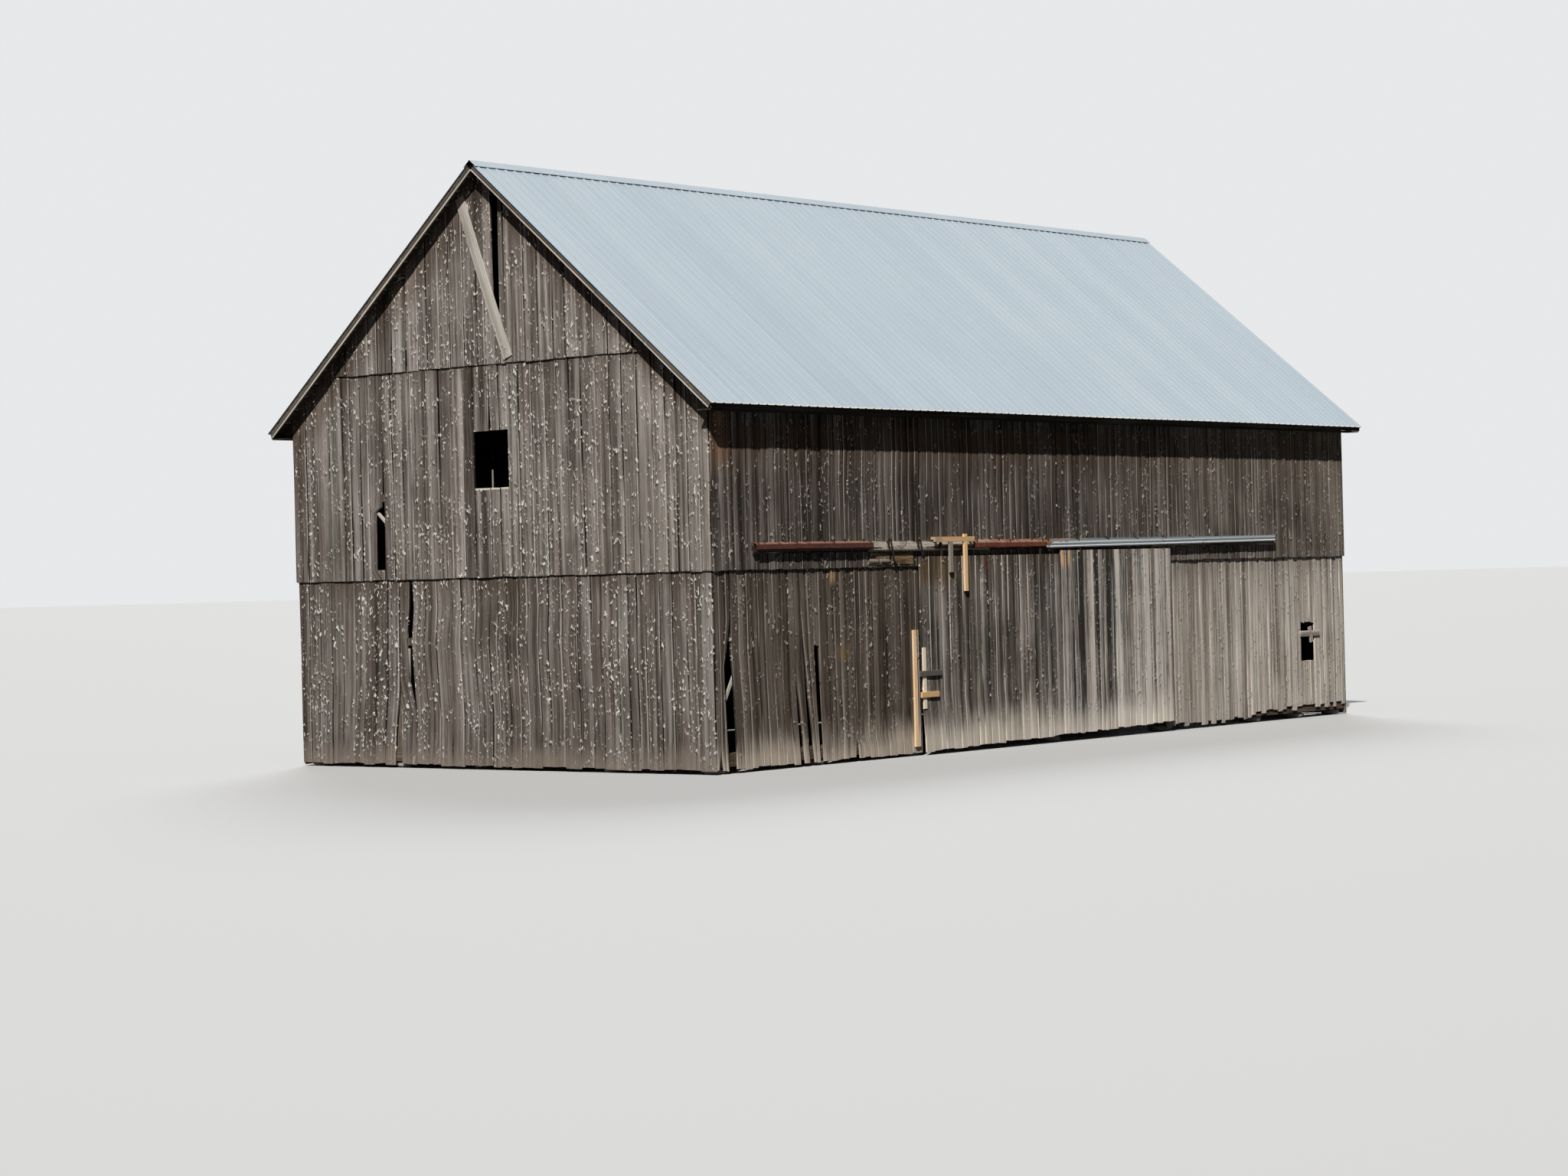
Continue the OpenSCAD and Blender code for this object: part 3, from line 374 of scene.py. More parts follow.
def weathered_wood(name, dark, mid, light, spread=0.5, streak=1.0, fleck=0.8, fleck_colour=(0.76, 0.71, 0.64),
                   flecks=0.0, rim=0.0, seam=0.6, foot=None, stains=(), region=None):
    """Unpainted board: streaks along the grain, cracks, pale flecks round knots with a painted shadow beside
    each, one edge lightened by bleaching and painted highlight, edges darkened by dirt and painted shade.

    fleck is how strong the flecks are and flecks shifts how many there are, rim lightens the edge that
    the numbers start from, partly as bleaching and partly as a painted highlight, seam darkens both edges
    with dirt and painted shade, foot is a (colour, low, high) band at the foot,
    and stains are (height, depth, colour, strength) under a lap or an eave. region changes the colour
    by the place on the wall. The tone is a sum of the board's own tone, a painted shade across each
    board that stands for its cupping, and noises that are drawn out along the grain, from the broadest
    to the finest."""
    def surface(shade):
        place = shade.place()
        x, y, z = place.parts()
        across, along, number = shade.attribute("grain").parts()
        tone, width, knots = shade.attribute("plank").parts()
        strip = shade.vector(across * 13.0, along * 0.16, number + 5.0).noise(1.5)
        broad = shade.vector(across * 46.0, along * 0.7, number).noise(2.5, 0.6)
        fine = shade.vector(across * 150.0, along * 3.0, number + 3.0).noise(2.0, 0.6)
        hair = shade.vector(across * 450.0, along * 14.0, number).noise(1.0)
        patch = place.tint(0.8).noise(3.0, 0.6)
        # lean is painted shade: one half of each board lighter and the other darker, as light falls on a
        # cupped board
        lean = (across / width - 0.5) * (number * 7.3).math("SINE")
        value = 0.5 + (tone - 0.5) * spread + lean * 0.22 + (strip - 0.5) * (1.5 * streak)
        value = value + (broad - 0.5) * (1.0 * streak) + (fine - 0.5) * (0.7 * streak)
        value = value + (patch - 0.5) * 0.75 + (hair - 0.5) * 0.25
        colour = value.ramp((0.05, dark), (0.5, mid), (0.97, light))
        hue = (strip * 2.0 + (number * 3.1).math("SINE") * 0.6 - 0.5).clamp()
        colour = colour.times(hue.mix((0.985, 1.004, 1.0), (1.02, 0.996, 0.985)))
        if region:
            colour = region(place, colour, value, patch)
        for height, depth, tint, strength in stains:
            drip = shade.vector(across * 30.0, along * 0.15, number + 9.0).noise(2.0, 0.6)
            reach = (height - z) / depth + (drip - 0.5) * 2.2
            wet = reach.fade(1.0, 0.1) * (z - height).fade(0.002, -0.002)
            colour = (wet * strength * (0.5 + (drip - 0.5) * 3.0).clamp()).mix(colour, tint)

        # Cracks, edges darkened by dirt and painted shade, and an edge lightened by bleaching and a painted
        # highlight (the glint)
        split = shade.vector(across * 42.0, along * 0.5, number + 7.0).noise(1.0)
        crack = (split - 0.5).math("ABSOLUTE").fade(0.012, 0.003) * broad.fade(0.45, 0.60)
        colour = (crack * 0.8).mix(colour, tuple(0.22 * c for c in dark))
        border = across.math("MINIMUM", width - across)
        shown = shade.vector(number * 2.0, along * 0.5, across).noise(1.0).fade(0.40, 0.56)
        colour = (border.fade(0.018, 0.004) * shown * seam).mix(colour, tuple(0.3 * c for c in dark))
        if rim:
            run = shade.vector(number * 3.0, along * 0.45, 0.0).noise(2.0, 0.6)
            glint = (across - 0.010 - run * 0.012).math("ABSOLUTE").fade(0.014, 0.008) * run.fade(0.40, 0.54)
            glint = glint * (number * 5.1).math("SINE").fade(-0.8, 0.5)
            colour = (glint * rim).mix(colour, tuple(min(0.9, 1.45 * c) for c in light))

        # Flecks: short strokes where the contour of one noise passes through the bright spots of
        # another, and blots, both in clusters; each has a painted shadow beside it, a little below
        cluster = shade.vector(across * 4.0, along * 2.4, number * 1.3).noise(2.0, 0.6) + (knots - 0.5) * 0.16
        warp = shade.vector(across * 9.0, along * 6.0, number + 2.0).noise(1.0)

        def marks(right, up):
            """Where the strokes and blots lie, moved to the right and up."""
            u, v = across - right + (warp - 0.5) * 0.10, along - up
            spots = shade.vector(u * 23.0, v * 12.0, number * 2.3).noise(1.0)
            blots = shade.vector(u * 30.0, v * 17.0, number * 1.9 + 4.0).noise(1.5)
            bend = shade.vector(u * 17.0 + v * 3.0, v * 9.0 - u * 3.0, number * 2.9 + 8.0).noise(1.0)
            stroke = (bend - 0.5).math("ABSOLUTE").fade(0.085, 0.045) * spots.fade(0.58, 0.63)
            return ((stroke * (cluster + flecks).fade(0.42, 0.54))
                    .math("MAXIMUM", blots.fade(0.72, 0.75) * (cluster + flecks).fade(0.36, 0.50)))
        strokes = marks(0.0, 0.0)
        fleck_shadows = marks(0.012, -0.040) * (1 - strokes)
        colour = (fleck_shadows * 0.7).mix(colour, tuple(0.35 * c for c in dark))
        colour = (strokes * fleck).mix(colour, fleck_colour)
        if foot:
            foot_colour, low, high = foot
            band = (z + (broad - 0.5) * 1.3 + (patch - 0.5) * 0.9 + (fine - 0.5) * 0.4).fade(high, low)
            pale = (value * 0.8 + 0.25).clamp().mix(tuple(0.6 * c for c in foot_colour), foot_colour)
            colour = (band * 0.95).mix(colour, pale)
        relief = broad * 0.5 + fine * 0.35 + hair * 0.12 - crack * 0.8 + strokes * 0.3
        return {"Base Color": colour, "Normal": relief.bump(0.004, 0.6)}
    return finish(name, surface, Roughness=0.86, Specular_IOR_Level=0.0)


def wall_front(s, z, out):
    """A place on the front wall: s to the right from its left end, z up and out from its line."""
    return np.stack([s - half_l, -half_w - out, z], -1)


def wall_back(s, z, out):
    """The same on the back wall, with s in the same direction as in front."""
    return np.stack([s - half_l, half_w + out, z], -1)


def wall_left(s, z, out):
    """A place on the near gable: s back from its middle, z up and out from its line."""
    return np.stack([-half_l - out, s, z], -1)


def wall_right(s, z, out):
    """The same on the far gable."""
    return np.stack([half_l + out, s, z], -1)


# The walls on which s runs to the left for someone who looks at them: their faces are turned round
mirrored = {wall_back, wall_left}


def course(seed, seams, foot, head, width=0.18, rag=(0.0, 0.014), gap=0.007, splits=0.10, levels=13):
    """Fills the spaces between fixed seams with boards of uneven width, in a list of dictionaries.

    A seam is (rows, breaks): rows of (height, right edge of the board before it, left edge of the
    board after it), and the heights between which the boards after it are broken away.
    foot and head are heights, or functions of the distance along the wall. Each space is shared out
    in widths that differ by up to a third, less gaps that grow with the square of a random number.
    Some joints open towards their feet, and each edge sways in a sine wave up the wall."""
    rng = np.random.default_rng(seed)
    foot_at = foot if callable(foot) else lambda s: foot
    head_at = head if callable(head) else lambda s: head
    middle = np.mean([seam[0][0][1] for seam in seams])
    low, high = foot_at(middle), head_at(middle)
    marks = [row[0] for rows, _ in seams for row in rows if low < row[0] < high]
    steps = np.unique(np.concatenate([np.linspace(0, 1, levels), (np.array(marks) - low) / (high - low)]))
    planks = []
    for (rows, breaks), (next_rows, _) in zip(seams, seams[1:]):
        rows, next_rows = np.array(rows), np.array(next_rows)
        span = next_rows[-1, 1] - rows[-1, 2]
        count = max(1, round(span / width))
        cuts = np.concatenate([[0], np.cumsum(1 + rng.uniform(-0.32, 0.32, count))])
        cuts /= cuts[-1]
        gaps = 0.001 + gap * 2.2 * rng.uniform(0, 1, count + 1) ** 2
        gaps[[0, -1]] = 0.0
        opens = np.where(rng.random(count + 1) < splits, rng.uniform(0.008, 0.022, count + 1), 0.0)
        opens[[0, -1]] = 0.0
        open_to = foot_at(middle) + rng.uniform(0.5, 1.9, count + 1)
        for j in range(count):
            where = rows[-1, 2] + span * (cuts[j] + cuts[j + 1]) / 2
            cut_levels = [foot_at(where)]
            for z0, z1 in breaks:
                cut_levels += [z0, z1]
            cut_levels.append(head_at(where))
            tone, knots, number = rng.random(), rng.random(), rng.uniform(0, 60)
            proud, tilt, cup = rng.uniform(0, 0.009), rng.normal(0, 0.003), rng.uniform(-0.002, 0.005)
            sway, phase, bow = rng.normal(0, 0.0015), rng.uniform(0, 6.28), rng.uniform(-0.002, 0.004)
            rags = rng.uniform(*rag, 2)
            slope_jitter = rng.normal(0, 0.003, 2)
            for part in range(0, len(cut_levels), 2):
                z0, z1 = cut_levels[part], cut_levels[part + 1]
                if z1 - z0 < 0.04:
                    continue
                z = z0 + (z1 - z0) * steps
                start = np.interp(z, rows[:, 0], rows[:, 2])
                end = np.interp(z, next_rows[:, 0], next_rows[:, 1])
                left = start + (end - start) * cuts[j] + gaps[j] / 2
                right = start + (end - start) * cuts[j + 1] - gaps[j + 1] / 2
                left = left + opens[j] / 2 * np.clip((open_to[j] - z) / 1.2, 0, 1)
                right = right - opens[j + 1] / 2 * np.clip((open_to[j + 1] - z) / 1.2, 0, 1)
                wave = sway * np.sin(1.9 * z + phase)
                left = left + (wave if 0 < j else 0)
                right = right + (wave if j < count - 1 else 0)
                torn = rags[0] + slope_jitter[0] * np.array([-1, 1]) if part == 0 else rags * 0.5
                heads = np.array([z1, z1]) + slope_jitter
                if part == len(cut_levels) - 2:
                    heads = np.array([head_at(left[-1]), head_at(right[-1])])
                planks.append(dict(
                    left=left, right=right, feet=np.array([z0, z0]) + torn, heads=heads, steps=steps,
                    tone=tone, knots=knots, number=number, out=proud + bow * np.sin(2.3 * z + phase),
                    tilt=tilt, cup=cup))
    return planks


# The section of a board, as a share of its width, steps sideways, and steps off its front
section_u = np.array([0, 0, 0, 0.25, 0.5, 0.75, 1, 1, 1])
section_x = np.array([0, 0, 1, 0, 0, 0, -1, 0, 0])
section_o = np.array([0, -1, 0, 0, 0, 0, 0, -1, 0])
section_front = np.array([0, 1, 1, 1, 1, 1, 1, 1, 0])


def board_arrays(planks, wall, out, thick=board, chamfer=0.006, seed=0, rough=0.004):
    """The points, faces and attributes of boards: a chamfered section carried up each of them.

    At every level the section runs between the board's two edges; its front is thick past the back,
    bulges by the cup, and leans by the tilt, and the ends are a little torn."""
    rng = np.random.default_rng(seed)
    stack = {key: np.array([p[key] for p in planks]) for key in planks[0]}
    left, right = stack["left"][:, :, None], stack["right"][:, :, None]
    width = right - left
    u = section_u[None, None, :]
    across = width * u + chamfer * section_x
    feet = stack["feet"][:, 0, None] * (1 - section_u) + stack["feet"][:, 1, None] * section_u
    heads = stack["heads"][:, 0, None] * (1 - section_u) + stack["heads"][:, 1, None] * section_u
    feet = feet + rng.uniform(0, rough, feet.shape)
    z = feet[:, None, :] + (heads - feet)[:, None, :] * stack["steps"][:, :, None]
    bulge = 4 * section_u * (1 - section_u) * stack["cup"][:, None, None] * section_front
    lean = stack["tilt"][:, None, None] * (section_u - 0.5)
    off = out + stack["out"][:, :, None] + (thick + chamfer * section_o) * section_front + bulge + lean
    points = wall(left + across, z, off)
    ones = np.ones_like(z)
    number = stack["number"][:, None, None] * ones
    grain = np.stack([across, z - feet[:, None, :], number], -1)
    tone, knots = (stack[key][:, None, None] * ones for key in ("tone", "knots"))
    plank = np.stack([tone, width * ones, knots], -1)
    count, rows, columns = z.shape
    flip = wall in mirrored
    faces = grid_faces(rows, columns, count, True, flip) + end_faces(rows, columns, count, flip)
    return points, faces, {"grain": grain, "plank": plank}


def boards(name, planks, wall, out, body, slot, material, replaced, **more):
    """Makes a piece of the boards of a course, out from the line of its wall."""
    points, faces, attributes = board_arrays(planks, wall, out, **more)
    return mesh_piece(name, points, faces, body, material, replaced, attributes)


def fixed(s, breaks=()):
    """A closed, upright seam at a distance along the wall."""
    return [(0.0, s, s)], breaks


def front_region(place, colour, value, patch):
    """Wood that pales towards the right end of the long wall, is darker over the doors and browner
    under its belt, where an orange streak and an ochre cloud lie left of the doors. The near top
    corner is orange."""
    x, y, z = place.parts()
    below = z.fade(belt_z + 0.05, belt_z - 0.05)
    colour = (below * 0.6).mix(colour, value.mix((0.048, 0.034, 0.024), (0.25, 0.198, 0.152)))
    over_doors = x.fade(-7.0, -4.0) * x.fade(2.5, 0.0) * (1 - below)
    colour = (over_doors * 0.26).mix(colour, (0.024, 0.018, 0.014))
    front = y.fade(0.0, -1.0)
    corner = x.fade(-8.75, -9.25) * z.fade(4.45, 4.95) * front
    colour = (corner * 0.7).mix(colour, value.mix((0.10, 0.045, 0.020), (0.34, 0.18, 0.095)))
    streak = (x + 6.535).math("ABSOLUTE").fade(0.100, 0.030) * z.fade(2.74, 2.96) * z.fade(3.07, 3.04)
    colour = (streak * front * 0.85).mix(colour, (0.74, 0.48, 0.27))
    cloud = (x + 6.30).math("ABSOLUTE").fade(0.24, 0.10) * (z - 1.735).math("ABSOLUTE").fade(0.18, 0.06)
    colour = (cloud * front * 0.7).mix(colour, value.mix((0.10, 0.06, 0.03), (0.34, 0.24, 0.13)))
    pale = x.fade(-1.0, 9.4) * patch.fade(0.25, 0.60)
    return (pale * 0.66).mix(colour, value.mix((0.10, 0.080, 0.060), (0.37, 0.315, 0.26)))


def gable_region(place, colour, value, patch):
    """Wood that is browner where the rakes shelter it and darkened with painted shade where their
    shadow falls, paler towards the front corner and darker below the belt, with a bleached sill under
    the hay window."""
    x, y, z = place.parts()
    height = (z - ridge_z) * math.cos(slope) + y.math("ABSOLUTE") * math.sin(slope)
    # A band below the roof that is partly the brown of sheltered wood and partly painted shade of the rakes'
    # shadow
    shelter_and_shade = (height + (patch - 0.5) * 0.5).fade(-0.72, -0.36)
    colour = (shelter_and_shade * 0.55).mix(colour, value.mix((0.022, 0.015, 0.011), (0.16, 0.105, 0.070)))
    colour = (z.fade(seam_z + 0.01, seam_z - 0.01) * 0.10).mix(colour, (0.060, 0.040, 0.026))
    bright = y.fade(-1.5, -3.4) * z.fade(belt_z, belt_z + 0.05) * (1 - shelter_and_shade)
    colour = (bright * 0.6).mix(colour, value.mix((0.12, 0.102, 0.086), (0.42, 0.375, 0.33)))
    sill = z.fade(4.460, 4.466) * (y + 0.045).math("ABSOLUTE").fade(0.39, 0.37) * z.fade(4.500, 4.494)
    colour = (sill * 0.85).mix(colour, (0.74, 0.67, 0.58))
    return (z.fade(belt_z + 0.01, belt_z - 0.01) * 0.24).mix(colour, (0.035, 0.021, 0.012))


def pale_region(place, colour, value, patch):
    """Wood that is greyer and darker beside the door and below the upper course: partly its own grey,
    partly painted shadow of branches.
    """
    x, y, z = place.parts()
    # Partly the wood's own grey and partly painted shadow of branches
    grey = (x.fade(6.8, 3.0) * 0.6 + z.fade(1.5, 3.0) * 0.5) * patch.fade(0.30, 0.60)
    return (grey * 0.75).mix(colour, value.mix((0.11, 0.088, 0.070), (0.46, 0.40, 0.34)))


gable_stain, front_stain, eave_stain = (0.085, 0.060, 0.042), (0.060, 0.040, 0.026), (0.150, 0.082, 0.044)
gable_wood = weathered_wood(
    "gable boards", (0.055, 0.045, 0.038), (0.178, 0.152, 0.134), (0.42, 0.385, 0.355), spread=0.30,
    streak=1.1, fleck=0.95, rim=0.5, seam=1.0, foot=((0.27, 0.22, 0.18), 0.0, 0.40), region=gable_region,
    stains=[(belt_z, 0.40, gable_stain, 0.9), (seam_z, 0.30, gable_stain, 0.8)])
front_wood = weathered_wood(
    "front boards", (0.036, 0.029, 0.024), (0.120, 0.100, 0.085), (0.30, 0.27, 0.24), spread=0.30,
    fleck=0.85, fleck_colour=(0.62, 0.57, 0.50), flecks=-0.06, rim=0.8, seam=0.8,
    foot=((0.70, 0.59, 0.48), 0.0, 0.60), region=front_region,
    stains=[(belt_z, 0.40, front_stain, 0.7), (upper_top - 0.3, 1.1, eave_stain, 0.8)])
pale_wood = weathered_wood(
    "pale boards", (0.22, 0.18, 0.145), (0.61, 0.535, 0.455), (0.86, 0.79, 0.71), spread=0.30,
    streak=1.0, fleck=0.5, fleck_colour=(0.84, 0.78, 0.70), flecks=-0.03, rim=0.5, seam=0.7,
    region=pale_region, stains=[(belt_z, 0.45, (0.13, 0.095, 0.070), 0.8)])

wall_length = 2 * half_l
foot_z, low_foot_z = 0.04, 0.022
lower_top, lower_out = belt_z + lap, -board - 0.004
front_width, gable_width, top_width = 0.165, 0.26, 0.28
# Seams of the front wall that open: a broken corner, three gaps that lean, a board whose lower part is
# lost, and a notch, all with the numbers growing to the right from the left end of the wall
corner_hole = [(0.0, 0.060, 0.190), (0.34, 0.126, 0.130), (3.2, 0.128, 0.131)]
corner_gap = [(0.0, 0.300, 0.490), (1.15, 0.258, 0.452), (1.62, 0.238, 0.415), (1.85, 0.292, 0.398),
              (2.34, 0.395, 0.410), (3.2, 0.385, 0.389)]
narrow_gap = [(0.0, 2.010, 2.125), (1.30, 1.932, 1.965), (1.56, 1.936, 1.940), (3.2, 1.930, 1.933)]
split_gap = [(0.0, 2.240, 2.375), (1.85, 2.112, 2.142), (2.45, 2.088, 2.092), (3.2, 2.080, 2.083)]
lost_left = [(0.0, 2.500, 2.500), (1.86, 2.400, 2.400), (3.2, 2.360, 2.363)]
lost_right = [(0.0, 2.590, 2.590), (1.86, 2.525, 2.525), (3.2, 2.515, 2.518)]
notch = [(0.0, 3.400, 3.500), (0.26, 3.415, 3.475), (0.35, 3.425, 3.432), (0.8, 3.425, 3.428),
         (3.2, 3.425, 3.428)]
front_seams = [fixed(board), (corner_hole, ()), (corner_gap, ()), (narrow_gap, ()), (split_gap, ()),
               (lost_left, [(-1.0, 1.86)]), (lost_right, ()), (notch, ()), fixed(5.15)]
front_left = course(21, front_seams, foot_z, lower_top, width=front_width, rag=(0.0, 0.035), splits=0.0)
boards("front_left_boards", front_left, wall_front, lower_out, "root", "front_siding", front_wood,
       ["front_wall_left"], seed=1)


def far_foot(s):
    """The feet of the boards right of the doors, which step up towards the far corner."""
    return foot_z + 0.11 * np.clip((s - 15.2) / 0.6, 0, 1)


stable_window = [(1.09, 1.78)]
far_seams = [fixed(12.44), fixed(17.21, stable_window), fixed(17.70), fixed(wall_length - board)]
front_right = course(22, far_seams, far_foot, lower_top, width=front_width, rag=(0.0, 0.10), splits=0.22)
boards("front_right_boards", front_right, wall_front, lower_out, "root", "pale_siding", pale_wood,
       ["front_wall_right"], seed=2, rough=0.012)

eave_crack = [(3.0, 2.414, 2.416), (4.44, 2.412, 2.416), (4.55, 2.408, 2.424), (4.95, 2.425, 2.447),
              (5.05, 2.432, 2.435), (5.7, 2.43, 2.433)]
upper_rag = (-0.007, 0.009)
front_upper = course(23, [fixed(0.0), (eave_crack, ()), fixed(wall_length)], belt_z, upper_top,
                     width=front_width, rag=upper_rag, splits=0.0)
boards("front_upper_boards", front_upper, wall_front, 0.0, "root", "front_siding", front_wood,
       ["front_wall_upper"], seed=3)

low_rag = (-0.008, 0.008)
back_lower = course(24, [fixed(board), fixed(wall_length - board)], low_foot_z, lower_top,
                    width=front_width, rag=low_rag)
boards("back_lower_boards", back_lower, wall_back, lower_out, "root", "front_siding", front_wood,
       ["back_wall_lower"], seed=4)
back_upper = course(25, [fixed(0.0), fixed(wall_length)], belt_z, upper_top,
                    width=front_width, rag=upper_rag, splits=0.0)
boards("back_upper_boards", back_upper, wall_back, 0.0, "root", "front_siding", front_wood,
       ["back_wall_upper"], seed=5)


def under_roof(cap):
    """The heads of gable boards: level at a cap, or cut along the slope of the roof."""
    return lambda s: np.minimum(cap, rafter_top(s) - 0.004)


# Seams of the near gable that open: two that lean in the lower course, a crack over the hay window, a
# slot and a wide seam beside it, with the numbers growing to the left from the middle of the wall
lean_right = [(0.0, 1.870, 1.876), (0.85, 1.822, 1.830), (1.45, 1.870, 1.985), (2.04, 1.905, 2.015),
              (2.6, 1.840, 1.935), (3.03, 1.855, 1.915), (3.2, 1.880, 1.885)]
lean_left = [(0.0, 2.200, 2.365), (0.6, 2.190, 2.315), (1.25, 2.185, 2.222), (3.2, 2.150, 2.154)]
left_lower = course(31, [fixed(-half_w), (lean_right, ()), (lean_left, ()), fixed(half_w)], foot_z, lower_top,
                    width=gable_width, rag=(0.0, 0.035), splits=0.22)
boards("left_gable_lower_boards", left_lower, wall_left, lower_out, "root", "gable_siding", gable_wood,
       ["left_gable_lower"], seed=6)

window = [(4.49, 5.40)]
window_start, window_end = -0.42, 0.33
window_crack = [(3.0, -0.020, -0.018), (5.39, -0.020, -0.018), (5.41, -0.045, 0.000), (5.9, -0.022, -0.016),
                (6.6, -0.02, -0.018)]
slot_left = [(3.0, 2.445, 2.445), (3.24, 2.445, 2.645), (4.18, 2.425, 2.632), (4.26, 2.430, 2.500),
             (4.47, 2.430, 2.482), (5.10, 2.440, 2.462), (5.25, 2.450, 2.453), (6.6, 2.47, 2.473)]
wide_seam = [(3.0, -2.050, -2.040), (4.9, -2.022, -2.008), (6.6, -2.014, -2.006)]
middle_seams = [fixed(-half_w - board), fixed(-2.32), (wide_seam, ()), fixed(-1.50), fixed(-1.25),
                fixed(window_start, window), (window_crack, window), fixed(window_end), fixed(1.406),
                fixed(1.735), (slot_left, ()), ([(3.0, 2.76, 2.763)], ()), fixed(half_w + board)]
middle_rag = (-0.007, 0.010)
left_middle = course(32, middle_seams, belt_z, under_roof(seam_z + lap), width=gable_width, rag=middle_rag,
                     splits=0.0, levels=15)
# The board below the slot, given as many levels as the others
slot_stub = course(33, [fixed(2.448), fixed(2.642)], belt_z, 3.24, rag=(0.0, 0.01), levels=13)
for plank in slot_stub:
    plank["steps"] = np.linspace(0, 1, len(left_middle[0]["steps"]))
    for key in ("left", "right", "out"):
        plank[key] = np.resize(plank[key][:1], len(plank["steps"]))
boards("left_gable_middle_boards", left_middle + slot_stub, wall_left, 0.0, "root", "gable_siding",
       gable_wood, ["left_gable_middle"], seed=7)

# A board has come off at the peak, down to 6.96 m, and its neighbours have opened a little
peak_left = [(6.4, -0.335, -0.332), (6.96, -0.335, -0.335), (8.1, -0.346, -0.346), (9.7, -0.346, -0.346)]
peak_right = [(6.4, -0.213, -0.210), (6.96, -0.211, -0.211), (8.1, -0.184, -0.184), (9.7, -0.180, -0.180)]
foot_limit = half_w - (seam_z - heel_z) / pitch_tan
thin_seams = [([(6.4, s - 0.004 * j, s + 0.004), (9.7, s - 0.003, s + 0.003)], ())
              for j, s in enumerate((0.165, 0.465, 0.784))]
above_all, top_rag = 99.0, (-0.008, 0.012)
top_seams = [fixed(-foot_limit), fixed(-0.865), fixed(-0.455), (peak_left, [(6.96, above_all)]),
             (peak_right, ()), fixed(0.0), *thin_seams, fixed(foot_limit)]
left_top = course(34, top_seams, seam_z, under_roof(above_all), width=top_width, rag=top_rag, splits=0.12,
                  levels=12)
boards("left_gable_top_boards", left_top, wall_left, board, "root", "gable_siding", gable_wood,
       ["left_gable_top"], seed=8)

right_lower = course(35, [fixed(-half_w), fixed(half_w)], low_foot_z, lower_top, width=gable_width,
                     rag=low_rag, splits=0.2)
boards("right_gable_lower_boards", right_lower, wall_right, lower_out, "root", "gable_siding", gable_wood,
       ["right_gable_lower"], seed=9)
far_middle_seams = [fixed(-half_w - board), fixed(window_start, window), fixed(window_end),
                    fixed(half_w + board)]
right_middle = course(36, far_middle_seams, belt_z, under_roof(seam_z + lap), width=gable_width,
                      rag=middle_rag, splits=0.0)
boards("right_gable_middle_boards", right_middle, wall_right, 0.0, "root", "gable_siding", gable_wood,
       ["right_gable_middle"], seed=10)
right_top = course(37, [fixed(-foot_limit), fixed(0.0), fixed(foot_limit)], seam_z, under_roof(above_all),
                   width=top_width, rag=top_rag, splits=0.1)
boards("right_gable_top_boards", right_top, wall_right, board, "root", "gable_siding", gable_wood,
       ["right_gable_top"], seed=11)

# Loose boards
# A bleached board has come off at the peak and leans across the slot it left, and broken pieces of
# boards lie behind the gaps and across the stable window. They still hang from a nail or two.


def loose_piece(base, lean, length, width, out, seed, tone=0.9, wall=wall_left, bend=0.0):
    """One board that leans: its centre line rises from base at an angle from upright, in a slight arc."""
    rows = 13
    plank = dict(left=np.full(rows, -width / 2), right=np.full(rows, width / 2), feet=np.array([0.0, 0.0]),
                 heads=np.array([length, length]), steps=np.linspace(0, 1, rows), tone=tone, knots=0.25,
                 number=seed * 3.1, out=np.zeros(rows), tilt=0.0, cup=0.001)
    c, s = math.cos(math.radians(lean)), math.sin(math.radians(lean))

    def turned(a, z, off):
        """The wall's placing of a point that is bent by half a sine wave and turned about the base."""
        a = a + bend * np.sin(np.pi * z / length)
        return wall(base[0] + a * c + z * s, base[1] + z * c - a * s, off)
    if wall in mirrored:
        mirrored.add(turned)
    return board_arrays([plank], turned, out, seed=seed)


def join_arrays(sets):
    """Several (points, faces, attributes) as one."""
    offset, points, faces, attributes = 0, [], [], {}
    for p, f, a in sets:
        p = p.reshape(-1, 3)
        points.append(p)
        faces += [[i + offset for i in face] for face in f]
        offset += len(p)
        for key, values in a.items():
            attributes.setdefault(key, []).append(values.reshape(-1, 3))
    return np.concatenate(points), faces, {k: np.concatenate(v) for k, v in attributes.items()}


loose_wood = weathered_wood(
    "loose boards", (0.20, 0.175, 0.150), (0.40, 0.355, 0.310), (0.62, 0.57, 0.51), spread=0.3,
    streak=0.7, fleck=0.4, flecks=-0.08, rim=0.6, seam=0.2)
points, faces, attributes = loose_piece((-0.511, seam_z + 0.08), 20.7, 2.79, 0.20, 2 * board, 5, bend=0.018)
mesh_piece("loose_peak_board", points, faces, "root", loose_wood, ["loose_gable_board"],
           attributes)
window_slat = loose_piece((17.17, 1.6075), 90.0, 0.70, 0.115, 0.0, 6, tone=0.35, wall=wall_front, bend=0.004)
corner_sliver = loose_piece((0.274, 1.115), 30.0, 0.52, 0.058, -2 * board, 7, wall=wall_front)
slot_sliver = loose_piece((2.421, 4.003), 49.0, 0.40, 0.058, -board, 8)
lean_sliver = loose_piece((2.062, 0.80), -2.0, 1.15, 0.094, -2 * board, 9, tone=0.5)
window_stick = loose_piece((-0.005, 4.492), 0.0, 0.29, 0.012, -2 * board, 10, tone=0.5)
slat_stump = loose_piece((17.58, 1.44), -12.0, 0.30, 0.11, 0.0, 12, tone=0.6, wall=wall_front)
broken = [window_slat, corner_sliver, slot_sliver, lean_sliver, window_stick, slat_stump]
points, faces, attributes = join_arrays(broken)
mesh_piece("broken_boards", points, faces, "root", loose_wood, ["broken_slats"], attributes)

